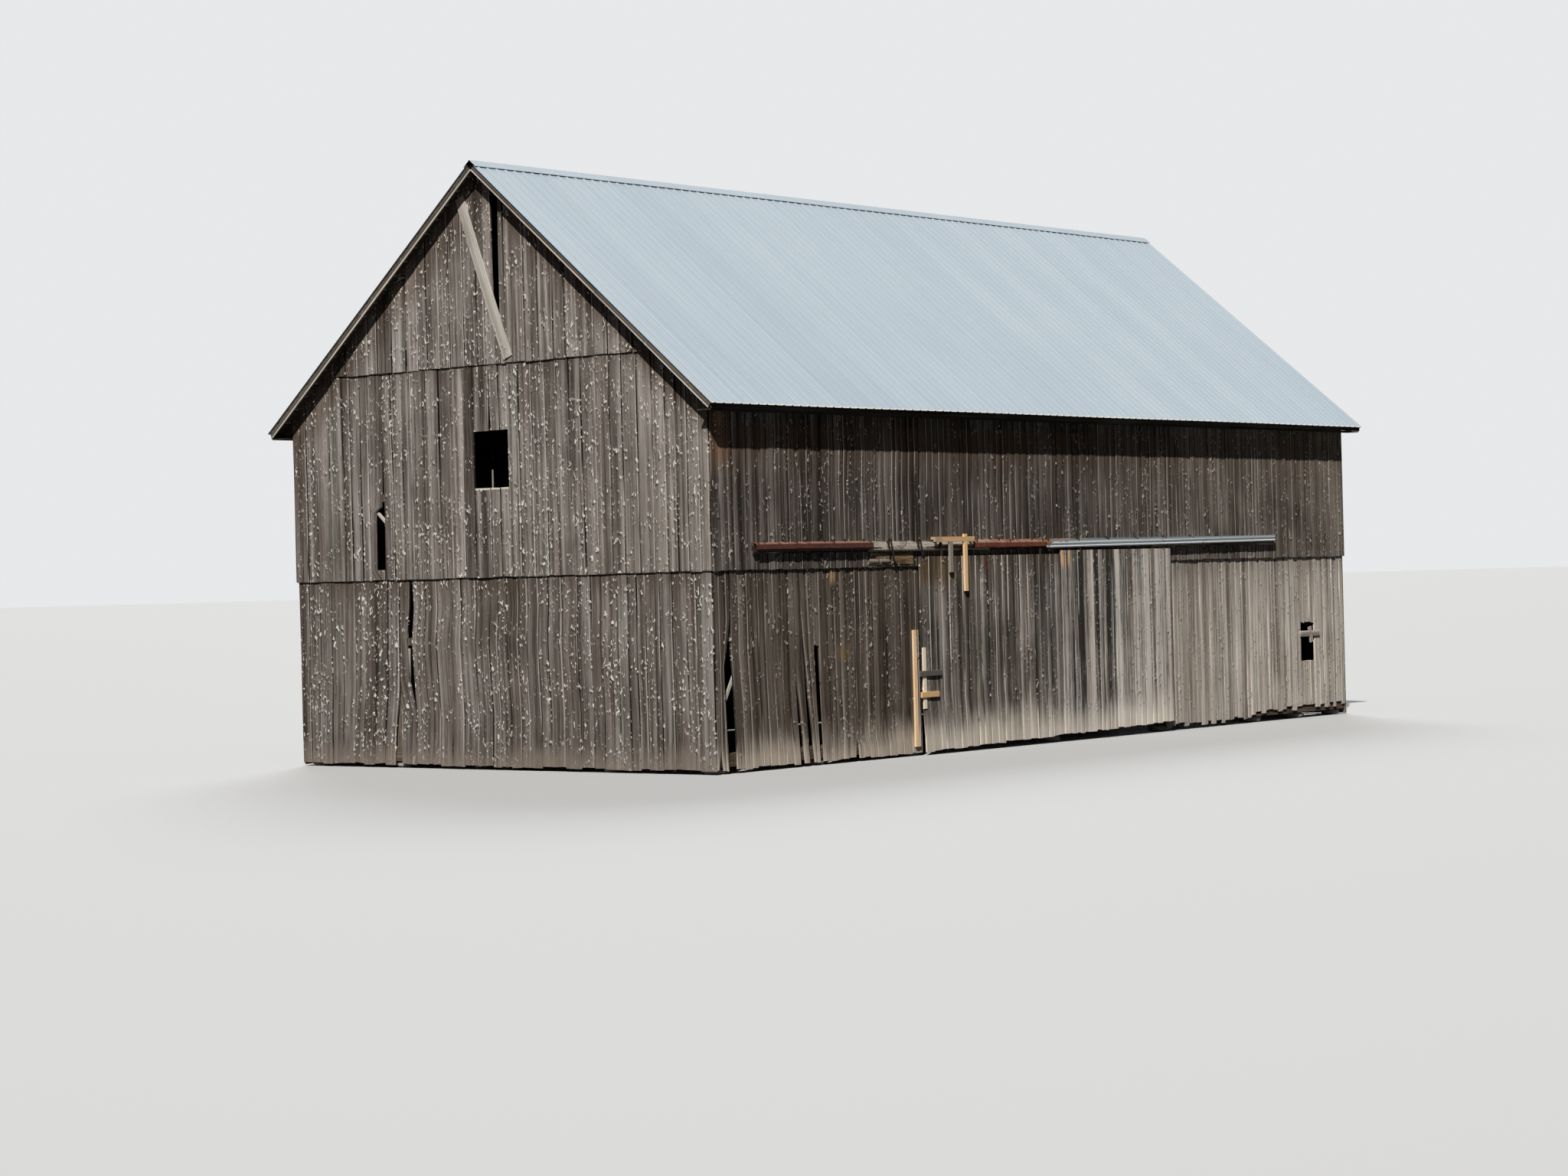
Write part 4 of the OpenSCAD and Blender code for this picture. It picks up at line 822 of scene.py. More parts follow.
# Roof
# Boards on sawn rafters carry ribbed sheets of zinc-coated steel, screwed down through their ribs,
# with a bent cap over the ridge. The sheets have gone dull and pale, a little different one by one.

roof_end, sheet_over = 9.715, 0.022
rib_pitch, rib_count, rib_h, sheet_t = 0.2032, 96, 0.012, 0.001
rib_foot, rib_crest = 0.0224, 0.018
sheet_width = 4 * rib_pitch
# How far the sheets lie off the rafters, and where they start and end down the slope
sheet_base, sheet_top, sheet_foot = 0.0254, 0.015, 6.363


def on_roof(side, x, s, n):
    """A place at a distance s down the slope and n off the rafters; side is 1 behind and -1 in front."""
    y = side * (s * math.cos(slope) + n * math.sin(slope))
    return np.stack([x + 0 * y, y, ridge_z - s * math.sin(slope) + n * math.cos(slope) + 0 * x], -1)


def roof_surface(shade):
    """Dull zinc with streaks down the slope, a tone of its own for each sheet of four ribs, thin dark
    laps between the sheets, a painted highlight along the eaves where the sheets' edge catches the sun,
    and a few faint rusty clouds."""
    place = shade.place()
    x, y, z = place.parts()
    sheets = (x + 9.8) / sheet_width
    sheet = sheets.math("FLOOR")
    tone = sheet.node("TexWhiteNoise", {"noise_dimensions": "1D"}, {"W": sheet})
    streak = shade.vector(x * 5.0, 0.0, z * 0.45).noise(3.0, 0.6)
    fine = shade.vector(x * 130.0, 0.0, z * 5.0).noise(2.0)
    cloud = place.tint(0.45).noise(3.0)
    value = (tone - 0.5) * 0.14 + (streak - 0.5) * 0.40 + (fine - 0.5) * 0.10 + (cloud - 0.5) * 0.4 + 0.5
    value = value + x.fade(-9.0, 9.0) * 0.12
    colour = value.ramp((0.1, (0.330, 0.386, 0.433)), (0.5, (0.396, 0.458, 0.507)),
                        (0.95, (0.466, 0.528, 0.573)))
    lapped = (sheets.math("FRACT") - 0.03).math("ABSOLUTE").fade(0.022, 0.010)
    colour = (lapped * 0.11).mix(colour, (0.13, 0.15, 0.165))
    # Painted highlight: the sunlit edge of the sheets along the eaves
    colour = (z.fade(5.598, 5.588) * 0.8).mix(colour, (0.64, 0.63, 0.56))
    rusty = place.tint(2.3).noise(4.0, 0.65).fade(0.72, 0.80)
    colour = (rusty * 0.15).mix(colour, (0.30, 0.22, 0.17))
    return {"Base Color": colour, "Roughness": cloud * 0.2 + 0.5}


steel = finish("roof steel", roof_surface, Specular_IOR_Level=0.15)
rib_x = (np.arange(rib_count) - (rib_count - 1) / 2) * rib_pitch
rib_edges = (rib_x[:, None] + np.array([-rib_foot, -rib_crest, rib_crest, rib_foot])).ravel()
across = np.concatenate([[-roof_end - sheet_over], rib_edges, [roof_end + sheet_over]])
profile = np.concatenate([[0], np.tile([0, rib_h, rib_h, 0], rib_count), [0]])
down = np.linspace(sheet_top, sheet_foot, 26)[:, None]
# The sheets lift off the boards in waves that grow with the square of the way down
lift = 0.0035 * (1 + np.sin(0.83 * across + 0.6 * down)) * (down / sheet_foot) ** 2
for side, name in ((-1, "front_roof_sheets"), (1, "back_roof_sheets")):
    upper = on_roof(side, across, down, sheet_base + sheet_t + profile + lift)
    under = on_roof(side, across, down, sheet_base + profile + lift)
    shell = np.concatenate([upper, under[:, ::-1]], 1)
    rows, columns = shell.shape[:2]
    faces = grid_faces(rows, columns, ring=True, flip=side < 0)
    # A strip of quads between the upper and the under side closes the sheet at its head and its foot
    ends = []
    for row in (0, rows - 1):
        a = row * columns + np.arange(columns // 2 - 1)
        b = row * columns + columns - 1 - np.arange(columns // 2 - 1)
        quads = np.stack([a, b, b - 1, a + 1], 1)
        ends += (quads if (row == 0) == (side < 0) else quads[:, ::-1]).tolist()
    mesh_piece(name + "_ribbed", shell, faces + ends, "root", steel, [name])

# The cap's section from its edge up to the ridge: how far off the rafters, and how far down the slope
cap_base, cap_rows = 0.0466, 60
cap_n = np.array([0.0, 0.0, 0.0015, 0.0015, 0.0, 0.0, 0.0]) + cap_base
cap_s = np.array([0.130, 0.122, 0.120, 0.078, 0.076, 0.020, -cap_base * pitch_tan])
cap_x = np.linspace(-roof_end - sheet_over, roof_end + sheet_over, cap_rows)[:, None]
cap_wave = 0.0008 * np.sin(2.1 * cap_x) - 0.0012
wing = [on_roof(side, cap_x, cap_s, cap_n + cap_wave + 0.001) for side in (-1, 1)]
wing_in = [on_roof(side, cap_x, cap_s, cap_n + cap_wave) for side in (-1, 1)]
cap = np.concatenate([wing[0], wing[1][:, -2::-1], wing_in[1], wing_in[0][:, -2::-1]], 1)
cap_faces = grid_faces(cap_rows, cap.shape[1], ring=True, flip=True)
cap_faces += end_faces(cap_rows, cap.shape[1], flip=True)
mesh_piece("ridge_cap_bent", cap, cap_faces, "root", steel, ["ridge_cap"])
dress(["front_roof_boards", "back_roof_boards"], timber_finish(0))

# Rake and eave boards
# Sawn boards nailed over the ends of the roof boards on both gables, never painted and gone grey. Each
# slope has two lengths that meet near the middle, and a fascia and two soffit boards box the eaves.


def lumber(start, end, wide, width, thick, tone=0.5, knots=0.3, number=0.0, rows=12, cut=0.003):
    """A sawn piece between the centres of its ends: a rectangle with its corners cut, carried along.

    width lies along the vector wide, and thick square to it and to the length."""
    start, end = np.array(start, float), np.array(end, float)
    length = np.linalg.norm(end - start)
    axis = (end - start) / length
    wide = np.array(wide, float) - np.dot(wide, axis) * axis
    wide /= np.linalg.norm(wide)
    deep = np.cross(axis, wide)
    w, t = width / 2, thick / 2
    u = np.array([-w, -w + cut, -w / 3, w / 3, w - cut, w, w, w - cut, w / 3, -w / 3, -w + cut, -w])
    v = np.array([-t + cut, -t, -t, -t, -t, -t + cut, t - cut, t, t, t, t, t - cut])
    steps = np.linspace(0, 1, rows)
    points = start + steps[:, None, None] * (end - start) + u[None, :, None] * wide + v[None, :, None] * deep
    ones = np.ones((rows, len(u)))
    grain = np.stack([(u + v + w) * ones, steps[:, None] * length * ones, number * ones], -1)
    plank = np.stack([tone * ones, (width + thick) * ones, knots * ones], -1)
    faces = grid_faces(rows, len(u), ring=True) + end_faces(rows, len(u))
    return points, faces, {"grain": grain, "plank": plank}


def lumber_piece(name, sets, body, material, replaced=()):
    """Makes one piece of several sawn ones."""
    points, faces, attributes = join_arrays(sets)
    return mesh_piece(name, points, faces, body, material, replaced, attributes)


def rake_region(place, colour, value, patch):
    """Wood darkened along its upper half with painted shade, where the edge of the steel shadows it."""
    x, y, z = place.parts()
    height = (z - ridge_z) * math.cos(slope) + y.math("ABSOLUTE") * math.sin(slope)
    # Painted shadow of the steel's edge along the upper half of the board
    steel_shadow = (height + (patch - 0.5) * 0.012).fade(-0.061, -0.054)
    return (steel_shadow * 0.92).mix(colour, value.mix((0.022, 0.018, 0.015), (0.110, 0.090, 0.073)))


rake_wood = weathered_wood(
    "rake boards", (0.34, 0.305, 0.260), (0.74, 0.680, 0.590), (0.90, 0.84, 0.74), spread=0.3,
    streak=1.2, fleck=0.3, flecks=-0.1, seam=0.2, region=rake_region)
# The fascia and soffit boards are near black: their dark colour is painted shade of the eaves
shaded_eave_wood = weathered_wood(
    "eave boards", (0.030, 0.025, 0.020), (0.075, 0.064, 0.052), (0.16, 0.14, 0.12), spread=0.3,
    fleck=0.2, flecks=-0.15, seam=0.3)
# How far the rafters' tails reach out from the ridge, level and along the slope
tail_y = 4.87
tail = tail_y / math.cos(slope)
# The rakes' width, thickness and centre line off the rafters, and where each length starts and ends
rake_w, rake_t, rake_n = 0.0798, 0.0248, -0.040
rake_lengths = ((0.068, 3.42), (3.424, tail - 0.001))
rake, eaves = [], []
for end in (-1, 1):
    rake_x = end * (roof_end - 0.0125)
    for side in (-1, 1):
        up = on_roof(side, rake_x, 0.0, 1.0) - on_roof(side, rake_x, 0.0, 0.0)
        for k, length in enumerate(rake_lengths):
            ends = [on_roof(side, rake_x, s, rake_n) for s in length]
            rake.append(lumber(ends[0], ends[1], up, rake_w, rake_t, tone=0.4 + 0.3 * k,
                               number=7.0 + len(rake), rows=14))
# The eave boards as (centre across, centre height, the way their width runs, width)
eave_foot, eave_head, box_t = rafter_top(tail_y) - 0.09, rafter_top(tail_y), 0.0198
fascia = (tail_y - box_t / 2, (eave_foot + 0.021 + eave_head) / 2, (0, 0, 1), 0.0686)
soffits = [(y, eave_foot + box_t / 2, (0, 1, 0), 0.124) for y in (4.787, 4.659)]
for side in (-1, 1):
    for y, z, wide, width in (fascia, *soffits):
        ends = [(x, side * y, z) for x in (-roof_end + 0.0252, roof_end - 0.0252)]
        eaves.append(lumber(ends[0], ends[1], wide, width, box_t, number=30.0 + len(eaves), rows=24))
lumber_piece("rake_boards_sawn", rake, "root", rake_wood, ["rake_boards"])
lumber_piece("eave_boards_sawn", eaves, "root", shaded_eave_wood, ["rake_boards"])

# Doors
# Two leaves of upright boards nailed to ledges and braces. Straps bolted to their front faces hang
# them from rollers on the rail above. Splashing rain has bleached their feet.

leaf_out = 0.075
left_start, left_end, left_top_z = 5.05, 9.055, 3.225
right_start, right_width, right_top_z = 9.065, 3.475, 3.285


def left_foot(s):
    """The left door's feet, which rise evenly along it."""
    return foot_z + 0.07 * np.clip((s - left_start) / 4.0, 0, 1)


def right_foot(s):
    """The right door's feet, which rise on from the left one's."""
    return 0.11 + 0.06 * np.clip((s - 9.07) / 3.5, 0, 1)


def left_door_region(place, colour, value, patch):
    """A brown wash below the bare stretch of the track, and a rusty stripe below the middle hood."""
    x, y, z = place.parts()
    wash = x.fade(-4.50, -4.30) * x.fade(-3.35, -3.65) * z.fade(2.62, 2.92)
    colour = (wash * 0.85).mix(colour, value.mix((0.024, 0.016, 0.009), (0.27, 0.185, 0.105)))
    stripe = (x + 2.56).math("ABSOLUTE").fade(0.070, 0.035) * z.fade(2.88, 3.06)
    return (stripe * 0.85).mix(colour, (0.19, 0.055, 0.028))


def right_door_region(place, colour, value, patch):
    """Two orange stains run down from the hood at the edge of the right door."""
    x, y, z = place.parts()
    run = (x + 0.345).math("ABSOLUTE").fade(0.075, 0.030)
    runs = run.math("MAXIMUM", (x + 0.130).math("ABSOLUTE").fade(0.062, 0.022) * 0.9)
    ragged = (z + (value - 0.5) * 0.3).fade(2.88, 3.04)
    return (runs * ragged).mix(colour, value.mix((0.92, 0.42, 0.11), (1.0, 0.78, 0.48)))


left_door_wood = weathered_wood(
    "left door boards", (0.044, 0.038, 0.031), (0.168, 0.146, 0.124), (0.49, 0.45, 0.40), spread=0.30,
    streak=1.1, fleck=0.8, fleck_colour=(0.64, 0.60, 0.54), flecks=-0.06, rim=1.0, seam=0.9,
    foot=((0.86, 0.76, 0.64), 0.16, 0.78), region=left_door_region,
    stains=[(3.25, 0.6, (0.085, 0.055, 0.033), 0.85)])
right_door_wood = weathered_wood(
    "right door boards", (0.050, 0.043, 0.037), (0.38, 0.335, 0.29), (0.76, 0.70, 0.63), spread=1.0,
    streak=1.5, fleck=0.6, fleck_colour=(0.74, 0.70, 0.64), flecks=-0.07, rim=0.5, seam=0.6,
    foot=((0.96, 0.86, 0.74), 0.20, 0.80), region=right_door_region,
    stains=[(3.3, 0.35, (0.12, 0.085, 0.060), 0.25)])
# The left door's closing edge has lost a sliver at its foot
shut_edge = [(z, left_start, s) for z, s in ((0.0, 5.125), (0.30, 5.112), (0.92, 5.053), (3.3, 5.051))]
left_leaf = course(41, [(shut_edge, ()), fixed(left_end)], left_foot, left_top_z, width=0.185,
                   rag=(0.0, 0.03), splits=0.10)
boards("left_door_boards", left_leaf, wall_front, leaf_out, "left_door", "door_boards", left_door_wood,
       ["left_door_leaf"], seed=12)
# The right door's boards as (share of its width, tone), from left to right
right_boards = [
    (0.22, 0.42), (0.15, 0.12), (0.12, 0.45), (0.13, 0.06), (0.12, 0.14), (0.26, 0.72), (0.14, 0.08),
    (0.13, 0.26), (0.14, 0.04), (0.13, 0.20), (0.12, 0.14), (0.17, 0.98), (0.20, 0.56), (0.19, 0.62),
    (0.18, 0.74), (0.17, 0.50), (0.20, 0.98), (0.15, 0.52), (0.17, 0.80), (0.19, 0.55), (0.20, 0.66)]
shares, tones = zip(*right_boards)
edges = right_start + np.cumsum([0, *shares]) * right_width / sum(shares)
right_leaf = course(42, [fixed(e) for e in edges], right_foot, right_top_z, width=1.0, rag=(0.0, 0.03),
                    splits=0.0)
half_gap = 0.003
for plank, tone in zip(right_leaf, tones):
    plank["tone"] = tone
    plank["left"] = plank["left"] + half_gap
    plank["right"] = plank["right"] - half_gap
boards("right_door_boards", right_leaf, wall_front, leaf_out, "right_door", "door_boards", right_door_wood,
       ["right_door_leaf"], seed=13)
dress(["left_door_ledges", "right_door_ledges"], timber_finish(0))


def rust(name, deep, mid, bright, fresh=None, bare=None):
    """Rusted steel; fresh is a colour that it turns to past the first door's middle, in creased bands,
    under a painted highlight along the top bend and darker along the foot, and bare is what is left
    of its zinc between the two rusted hoods."""
    def surface(shade):
        place = shade.place()
        x, y, z = place.parts()
        big = place.tint(5.0).noise(4.0, 0.6)
        fine = place.tint(60.0).noise(3.0, 0.65)
        drawn_out = place.times((0.8, 30.0, 30.0)).noise(3.0)
        value = (big - 0.5) * 0.9 + (fine - 0.5) * 0.7 + (drawn_out - 0.5) * 0.6 + 0.5
        colour = value.ramp((0.1, deep), (0.5, mid), (0.95, bright))
        if fresh:
            crease = shade.vector(x * 7.0, 0.0, z * 1.5).noise(3.0, 0.65)
            bands = (value * 0.5 + crease - 0.35).clamp()
            colour = x.fade(-3.6, -2.7).mix(colour, bands.mix(deep, fresh))
            height = shade.attribute("section").parts()[1]
            # A painted highlight along the top bend, where it catches the sun
            crest_highlight = height.fade(3.474, 3.484) * (fine * 0.6 + crease * 0.7).fade(0.52, 0.66)
            colour = (crest_highlight * 0.5).mix(colour, (0.46, 0.29, 0.20))
            colour = (height.fade(3.412, 3.405) * 0.75).mix(colour, deep)
        if bare:
            between = x.fade(-5.66, -5.58) * x.fade(-3.95, -4.25)
            colour = (between * value.fade(0.30, 0.52)).mix(colour, bare)
        return {"Base Color": colour, "Normal": (big * 0.6 + fine * 0.4).bump(0.003, 0.7)}
    return finish(name, surface, Roughness=0.78, Specular_IOR_Level=0.15)


dark_tones = (0.018, 0.012, 0.010), (0.045, 0.026, 0.020), (0.12, 0.060, 0.040)
dark_rust = rust("dark rust", *dark_tones)
dress(["left_door_hangers", "right_door_hangers", "track_brackets"], dark_rust)
dress(["track_rail"], rust("rail rust", *dark_tones, bare=(0.58, 0.485, 0.400)))

# Door track
# A sawn board bolted to the wall carries a flat rail on blocks. Bent steel hoods on straps keep the
# rain off the rollers: the left and middle ones have rusted through their zinc, the long one hasn't.


def track_region(place, colour, value, patch):
    """Wood that is stained brown below the track board, more so to the right."""
    x, y, z = place.parts()
    below = z.fade(3.318, 3.308) * (x.fade(-5.4, -4.8) * 0.35 + 0.6)
    return below.mix(colour, value.mix((0.026, 0.018, 0.011), (0.300, 0.195, 0.105)))


track_wood = weathered_wood(
    "track board", (0.045, 0.033, 0.024), (0.235, 0.192, 0.145), (0.66, 0.595, 0.50), spread=0.6,
    streak=3.2, fleck=0.4, flecks=0.0, seam=0.3, region=track_region)
track_out, track_z, track_w, track_t = 0.044, 3.40, 0.160, 0.038
# The board's four lengths as (start, end, tone)
track_lengths = ((0.912, 3.76, 0.3), (3.763, 7.04, 0.70), (7.043, 11.6, 0.5), (11.603, 16.15, 0.3))
track = []
for k, (start, end, tone) in enumerate(track_lengths):
    ends = [(s - half_l, -half_w - track_out, track_z) for s in (start, end)]
    track.append(lumber(ends[0], ends[1], (0, 0, 1), track_w, track_t, tone=tone, number=11.0 + k, rows=16))
# A thinner board below the stretch that has lost its hood
ends = [(s - half_l, -half_w - 0.0345, 3.205) for s in (3.82, 4.96)]
track.append(lumber(ends[0], ends[1], (0, 0, 1), 0.200, 0.013, tone=0.35, number=16.0))
# The grain of these boards is coarser than the siding's
coarse = 0.4
for _, _, attributes in track:
    attributes["grain"][..., 0] *= coarse
    attributes["plank"][..., 1] *= coarse
lumber_piece("track_board_sawn", track, "root", track_wood, ["track_board"])


# How far out from the wall the hoods start and end, and the heights of their top and foot
hood_back, hood_front, hood_top, hood_foot = 0.026, 0.1232, 3.4926, 3.3784


def bent_profile(front, top, foot, thick, radius, steps=7):
    """The ring of a strip that leaves the wall and bends down in a quarter circle, as (out, height)."""
    c = np.array([front - radius - thick, top - radius - thick])
    a = np.linspace(0, np.pi / 2, steps)[:, None]
    arc = np.concatenate([np.sin(a), np.cos(a)], 1)
    drop = np.linspace(c[1], foot, 5)[1:]
    down = np.stack([0 * drop, drop], 1)
    outer = np.concatenate([[[hood_back, top]], c + (radius + thick) * arc, down + [front, 0]])
    inner = np.concatenate([[[hood_back, top - thick]], c + radius * arc, down + [front - thick, 0]])
    return np.concatenate([outer, inner[::-1]])


def hood(along, profile, seed, dents, sunk, rise=0.0, rows=60):
    """A profile carried along the wall, with dents in and out of its front and its right end lifted.

    The dents are a sum of four sine waves and grow towards the foot, rise is reached with the square
    of the distance, and sunk is how far the front edge has come down at each end of the hood."""
    rng = np.random.default_rng(seed)
    x = np.linspace(along[0], along[1], rows)[:, None] - half_l
    out, z = profile[None, :, 0], profile[None, :, 1]
    forward = np.clip((out - hood_back) / (hood_front - hood_back), 0, 1)
    low = np.clip((3.475 - z) / 0.09, 0, 1)
    wave = sum(rng.uniform(0.4, 1) * np.sin(f * x + rng.uniform(0, 6.28)) for f in (1.7, 4.3, 9.1, 17.0)) / 3
    lifted = rise * np.clip((x - x[0]) / (x[-1] - x[0]), 0, 1) ** 2
    out = out + dents * low * (wave + 0.6)
    fallen = np.interp(x, (x[0, 0], x[-1, 0]), sunk) * forward
    z = z + dents * 1.3 * np.roll(wave, 3, 0) * low + lifted - fallen
    section = np.stack([0 * x + profile[None, :, 0], 0 * x + profile[None, :, 1], 0 * z], -1)
    return np.stack([x + 0 * z, -half_w - out, z], -1), section


def hood_piece(name, alongs, profile, seed, dents, sunk, material, replaced=(), rise=0.0):
    """Makes one piece of the hoods between pairs of distances along the wall."""
    sets = [hood(along, profile, seed + k, dents, sunk[k], rise) for k, along in enumerate(alongs)]
    points, section = np.stack([s[0] for s in sets]), np.stack([s[1] for s in sets])
    shape = (*points.shape[1:3], len(sets))
    faces = grid_faces(*shape, ring=True, flip=True) + end_faces(*shape, flip=True)
    return mesh_piece(name, points, faces, "root", material, replaced, {"section": section})


hood_rust = rust("hood rust", (0.035, 0.012, 0.009), (0.095, 0.034, 0.025), (0.19, 0.08, 0.055),
                 fresh=(0.31, 0.092, 0.050))
plain_profile = bent_profile(hood_front, hood_top, hood_foot + 0.026, 0.002, 0.0172)
rusted_lengths, rusted_sunk = [(0.915, 3.825), (6.56, 8.60)], [(0.020, 0.018), (0.045, 0.045)]
hood_piece("rusted_hoods", rusted_lengths, plain_profile, 51, 0.005, rusted_sunk, hood_rust,
           ["rust_hoods"])


def zinc_surface(shade):
    """Zinc drawn out in streaks, with rusty places where the hood starts, and painted shade in bands
    along its profile.
    """
    place = shade.place()
    x, y, z = place.parts()
    streak = shade.vector(x * 0.9, y * 30.0, z * 30.0).noise(3.0)
    flake = place.tint(36.0).noise(2.0)
    value = (streak - 0.5) * 0.8 + (flake - 0.5) * 0.5 + 0.5
    colour = value.ramp((0.1, (0.52, 0.55, 0.57)), (0.5, (0.68, 0.71, 0.72)), (0.95, (0.84, 0.85, 0.84)))
    # Painted shade in bands along the profile: grey above the two beads, a dark line along the top bend
    # and a dark groove between the beads; the upper bead greys along its length
    height = shade.attribute("section").parts()[1]
    colour = (height.fade(3.463, 3.469) * 0.85).mix(colour, colour.times((0.40, 0.46, 0.47)))
    upper_shade = height.fade(3.434, 3.440) * x.fade(1.0, 5.0) * 0.6
    colour = upper_shade.mix(colour, colour.times((0.45, 0.52, 0.54)))
    colour = (height.fade(3.482, 3.488) * 0.8).mix(colour, (0.10, 0.12, 0.13))
    colour = ((height - 3.426).math("ABSOLUTE").fade(0.012, 0.007) * 0.9).mix(colour, (0.035, 0.038, 0.040))
    start = x.fade(-0.45, -0.80) * 0.20 + x.fade(1.6, -0.2) * height.fade(3.44, 3.47) * 0.12
    rusted = (place.tint(3.1).noise(4.0, 0.65) + start).fade(0.62, 0.72)
    return {"Base Color": rusted.mix(colour, (0.22, 0.10, 0.045)), "Roughness": rusted * 0.35 + 0.38,
            "Metallic": (1 - rusted) * 0.15}


zinc = finish("zinc", zinc_surface)
# The beaded profile: a quarter circle at the top and two arcs that stand out of the front, and then the
# same line moved inwards along its normal by the steel's thickness
bend_r, bead_r, bead_out, bead_heights, zinc_t = 0.0192, 0.011, 0.1212, (3.4564, 3.3974), 0.0018
bend = np.linspace(0, np.pi / 2, 6)
bead = np.linspace(np.radians(75), np.radians(-75), 9)
corner = np.array([hood_front - bend_r, hood_top - bend_r])
corner = corner + bend_r * np.stack([np.sin(bend), np.cos(bend)], 1)
beads = [np.array([bead_out, z]) + bead_r * np.stack([np.cos(bead), np.sin(bead)], 1) for z in bead_heights]
beaded = np.concatenate([[[hood_back, hood_top]], corner, *beads, [[hood_front, hood_foot]]])
normal = np.gradient(beaded, axis=0)
normal = np.stack([normal[:, 1], -normal[:, 0]], 1) / np.linalg.norm(normal, axis=1)[:, None]
beaded_profile = np.concatenate([beaded, (beaded + zinc_t * normal)[::-1]])
hood_piece("beaded_hood", [(8.62, 16.14)], beaded_profile, 55, 0.0015, [(0.045, 0.0)], zinc,
           ["zinc_hood"], rise=0.012)


def bent_strap(line, width, thick, out):
    """A flat strap that follows a line of (distance along the wall, height), standing off the wall."""
    line = np.array(line)
    ahead = np.gradient(line, axis=0)
    ahead /= np.linalg.norm(ahead, axis=1)[:, None]
    aside = np.stack([ahead[:, 1], -ahead[:, 0]], 1) * width / 2
    corners = [(line - aside, thick), (line + aside, thick), (line + aside, 0.0), (line - aside, 0.0)]
    return np.stack([wall_front(c[:, 0], c[:, 1], out + t + 0 * c[:, 0]) for c, t in corners], 1)


def hex_prisms(places, radius, height):
    """Upright six-sided prisms whose feet stand at rows of (along the wall, out from it, height)."""
    turned = np.arange(6) * np.pi / 3
    along, out = radius * np.cos(turned), radius * np.sin(turned)
    hexagons = [wall_front(places[:, :1] + along, places[:, 2:] + level + 0 * along, places[:, 1:2] + out)
                for level in (0.0, height)]
    faces = grid_faces(2, 6, len(places), ring=True, flip=True) + end_faces(2, 6, len(places), flip=True)
    return np.stack(hexagons, 1), faces


# Nuts stand on the hoods' tops, which have come down by a little under half as much as their front edges
nut_out, nut_r, nut_h = 0.070, 0.019, 0.046
nut_along = np.array([1.18, 1.67, 2.158, 2.65, 3.147, 3.637, 6.622, 7.311, 7.715, 8.274,
                      *np.arange(8.75, 16.1, 0.9)])
fallen = np.interp(nut_along, (0.9, 3.8, 6.5, 8.62, 16.14), (0.019, 0.019, 0.045, 0.045, 0.0)) * 0.45
nut_feet = np.stack([nut_along, 0 * nut_along + nut_out, hood_top - 0.003 - fallen], 1)
points, faces = hex_prisms(nut_feet, nut_r, nut_h)
mesh_piece("hood_nuts", points, faces, "root", dark_rust)

# Two straps on the bare stretch that rise, turn over in an arc and hang down aslant
hook_r, hook_out, hook_w, hook_t = 0.035, 0.127, 0.042, 0.006
hooks = []
for s, top in ((4.235, 3.47), (5.020, 3.46)):
    over = np.radians(np.linspace(180, 15, 9))
    arc = np.stack([s + hook_r * np.cos(over), top + hook_r * np.sin(over)], 1)
    rising = [(s - hook_r, top - 0.09), (s - hook_r, top - 0.04)]
    hanging = [(s + 0.06, top - 0.08), (s + 0.10, top - 0.22)]
    hooks.append(bent_strap([*rising, *arc, *hanging], hook_w, hook_t, hook_out))
hook_shape = (len(hooks[0]), 4, len(hooks))
black_rust = rust("black rust", (0.012, 0.010, 0.009), (0.022, 0.016, 0.014), (0.07, 0.045, 0.03))
mesh_piece("bare_hooks", np.stack(hooks), grid_faces(*hook_shape, ring=True) + end_faces(*hook_shape), "root",
           black_rust)

# Repairs with new lumber
# Sawn 2 by 4 nailed over the bare stretch of the track and to the left door as a pull, and a strip
# at its closing edge. Some of it is still yellow from the saw and some has gone grey.


def repair_surface(shade):
    """Lumber whose tone runs from grey through tan to the yellow of fresh wood, streaked along the grain."""
    across, along, number = shade.attribute("grain").parts()
    tone, width, knots = shade.attribute("plank").parts()
    broad = shade.vector(across * 40.0, along * 1.4, number).noise(3.0)
    fine = shade.vector(across * 260.0, along * 5.0, number).noise(2.0)
    value = tone + (broad - 0.5) * 0.28 + (fine - 0.5) * 0.16
    colour = value.ramp((0.05, (0.105, 0.098, 0.090)), (0.35, (0.34, 0.29, 0.23)), (0.55, (0.66, 0.39, 0.19)),
                        (0.78, (0.88, 0.56, 0.28)), (0.97, (0.98, 0.84, 0.66)))
    return {"Base Color": colour, "Normal": (broad + fine * 0.4).bump(0.0015, 0.6)}


repair_wood = finish("repair lumber", repair_surface, Roughness=0.75, Specular_IOR_Level=0.15)


def front_stick(along, out, z, tone, number, upright):
    """A piece of lumber that fills a box given along the wall, out from it and in height."""
    mid = [(a[0] + a[1]) / 2 for a in (along, out, z)]
    if upright:
        ends = [(mid[0] - half_l, -half_w - mid[1], h) for h in z]
        return lumber(ends[0], ends[1], (1, 0, 0), along[1] - along[0], out[1] - out[0], tone, number=number)
    ends = [(a - half_l, -half_w - mid[1], mid[2]) for a in along]
    return lumber(ends[0], ends[1], (0, 0, 1), z[1] - z[0], out[1] - out[0], tone, number=number)


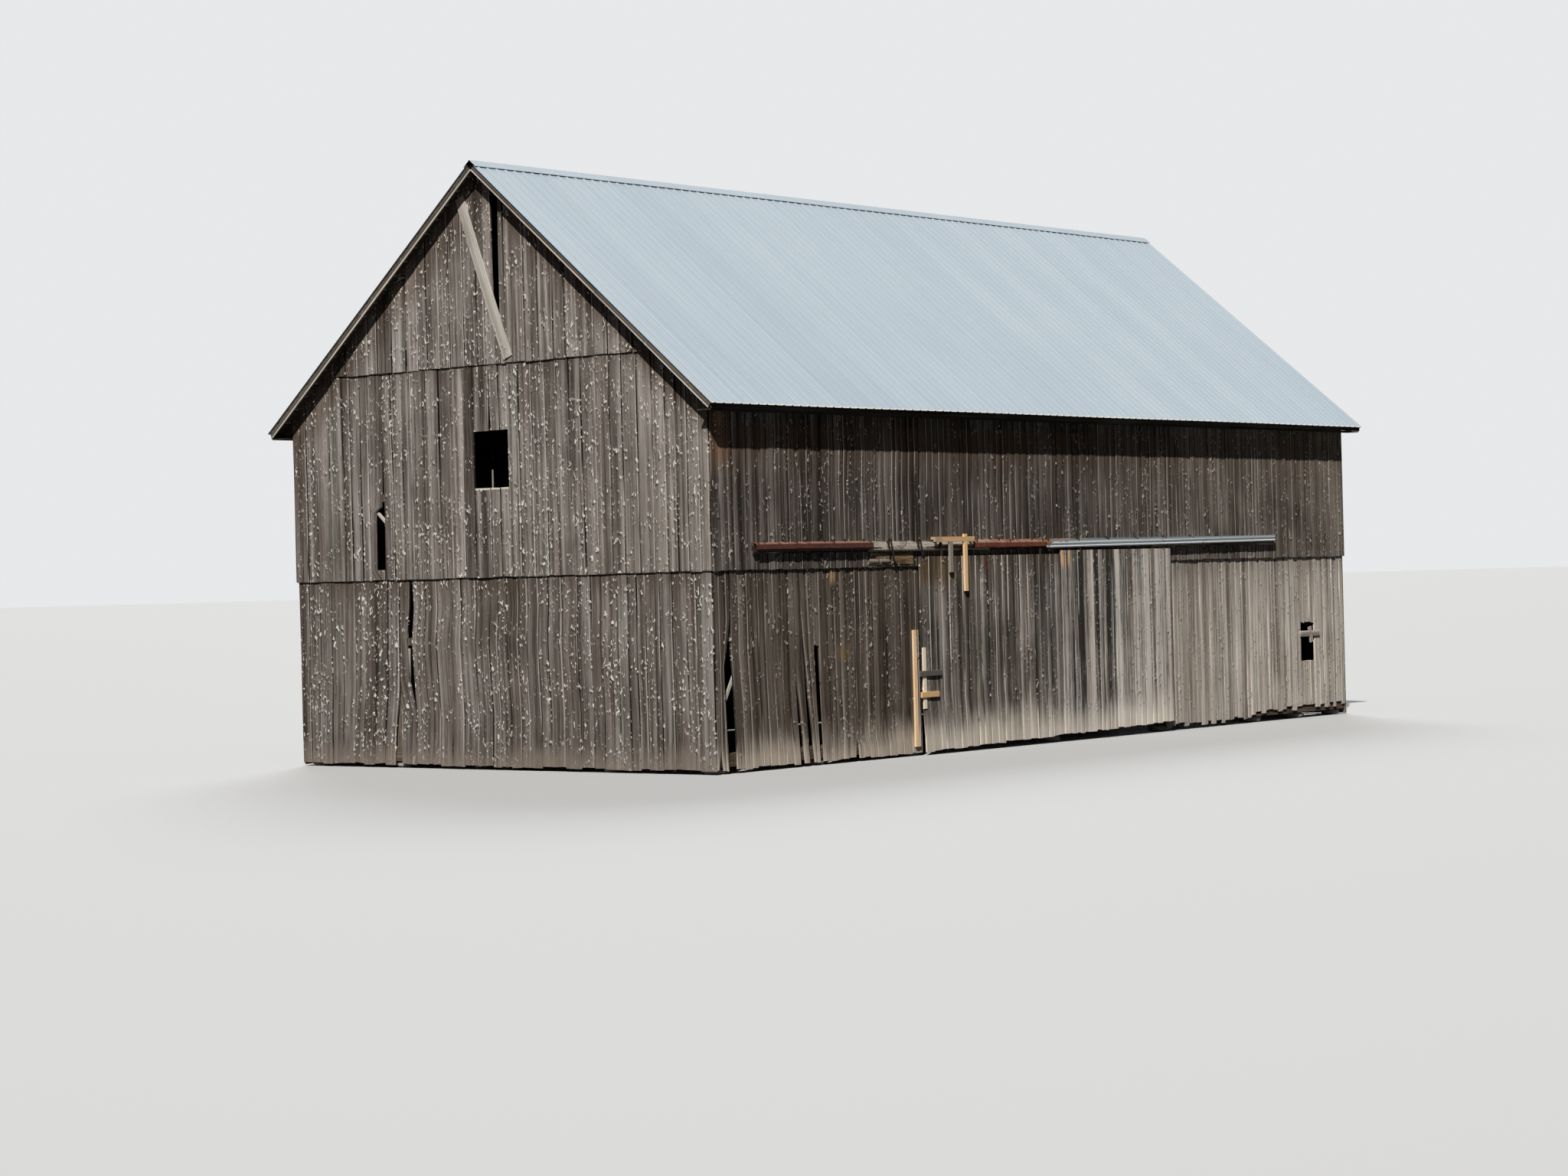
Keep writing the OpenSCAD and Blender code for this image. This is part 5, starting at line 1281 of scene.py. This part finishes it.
# The patch on the track: two arms out from the wall, a rail in two lengths across them, and two
# uprights that hang below it, the second of which stands up past it too; a hair parts their faces
arm_z, hair = 3.4954, 0.0002
rail_foot, rail_head = arm_z - 0.0355, arm_z + 0.0445
rail_out = (0.118, 0.156)
patch = []
for s in (5.48, 6.45):
    ends = [(s - half_l, -half_w - out, arm_z + 0.0222) for out in (0.025, rail_out[0])]
    patch.append(lumber(ends[0], ends[1], (0, 0, 1), 0.0445, 0.038, 0.5, number=3.0))
patch += [front_stick((5.42, 5.609), rail_out, (rail_foot, rail_head), 0.46, 20.0, False),
          front_stick((5.611, 6.51), rail_out, (rail_foot, rail_head), 0.63, 21.0, False),
          front_stick((5.815, 5.904), rail_out, (2.96, rail_foot - hair), 0.30, 22.0, True),
          front_stick((6.215, 6.304), rail_out, (2.645, rail_foot - hair), 0.80, 23.0, True),
          front_stick((6.215, 6.304), rail_out, (rail_head + hair, rail_head + 0.0445), 0.80, 23.0, True)]
lumber_piece("track_patch_lumber", patch, "root", repair_wood, ["track_patch"])
# The pull: a pale upright in three parts, crossed by a grey piece and a yellow one
pull_heights, pull_out = ((0.76, 0.9403), (1.0297, 1.2853), (1.3747, 1.75)), (0.100, 0.138)
pull = [front_stick((5.05, 5.139), (0.100, 0.119), heights, 0.97, 24.0 + k, True)
        for k, heights in enumerate(pull_heights)]
pull += [front_stick((4.96, 5.53), pull_out, (1.2855, 1.3745), 0.06, 28.0, False),
         front_stick((4.99, 5.45), pull_out, (0.9405, 1.0295), 0.66, 29.0, False)]
lumber_piece("door_pull_lumber", pull, "left_door", repair_wood, ["left_door_pull"])
# The strip at the closing edge, and the old wood beside it
jamb_z = (0.15, 2.04)
strip = [front_stick((4.92, 5.006), (0.0, 0.038), jamb_z, 0.83, 27.0, True)]
lumber_piece("jamb_strip_lumber", strip, "root", repair_wood, ["jamb_strip"])
backing = [front_stick((5.008, 5.06), (0.0, 0.034), jamb_z, 0.3, 31.0, True)]
lumber_piece("jamb_backing_lumber", backing, "root", left_door_wood, ["jamb_strip"])
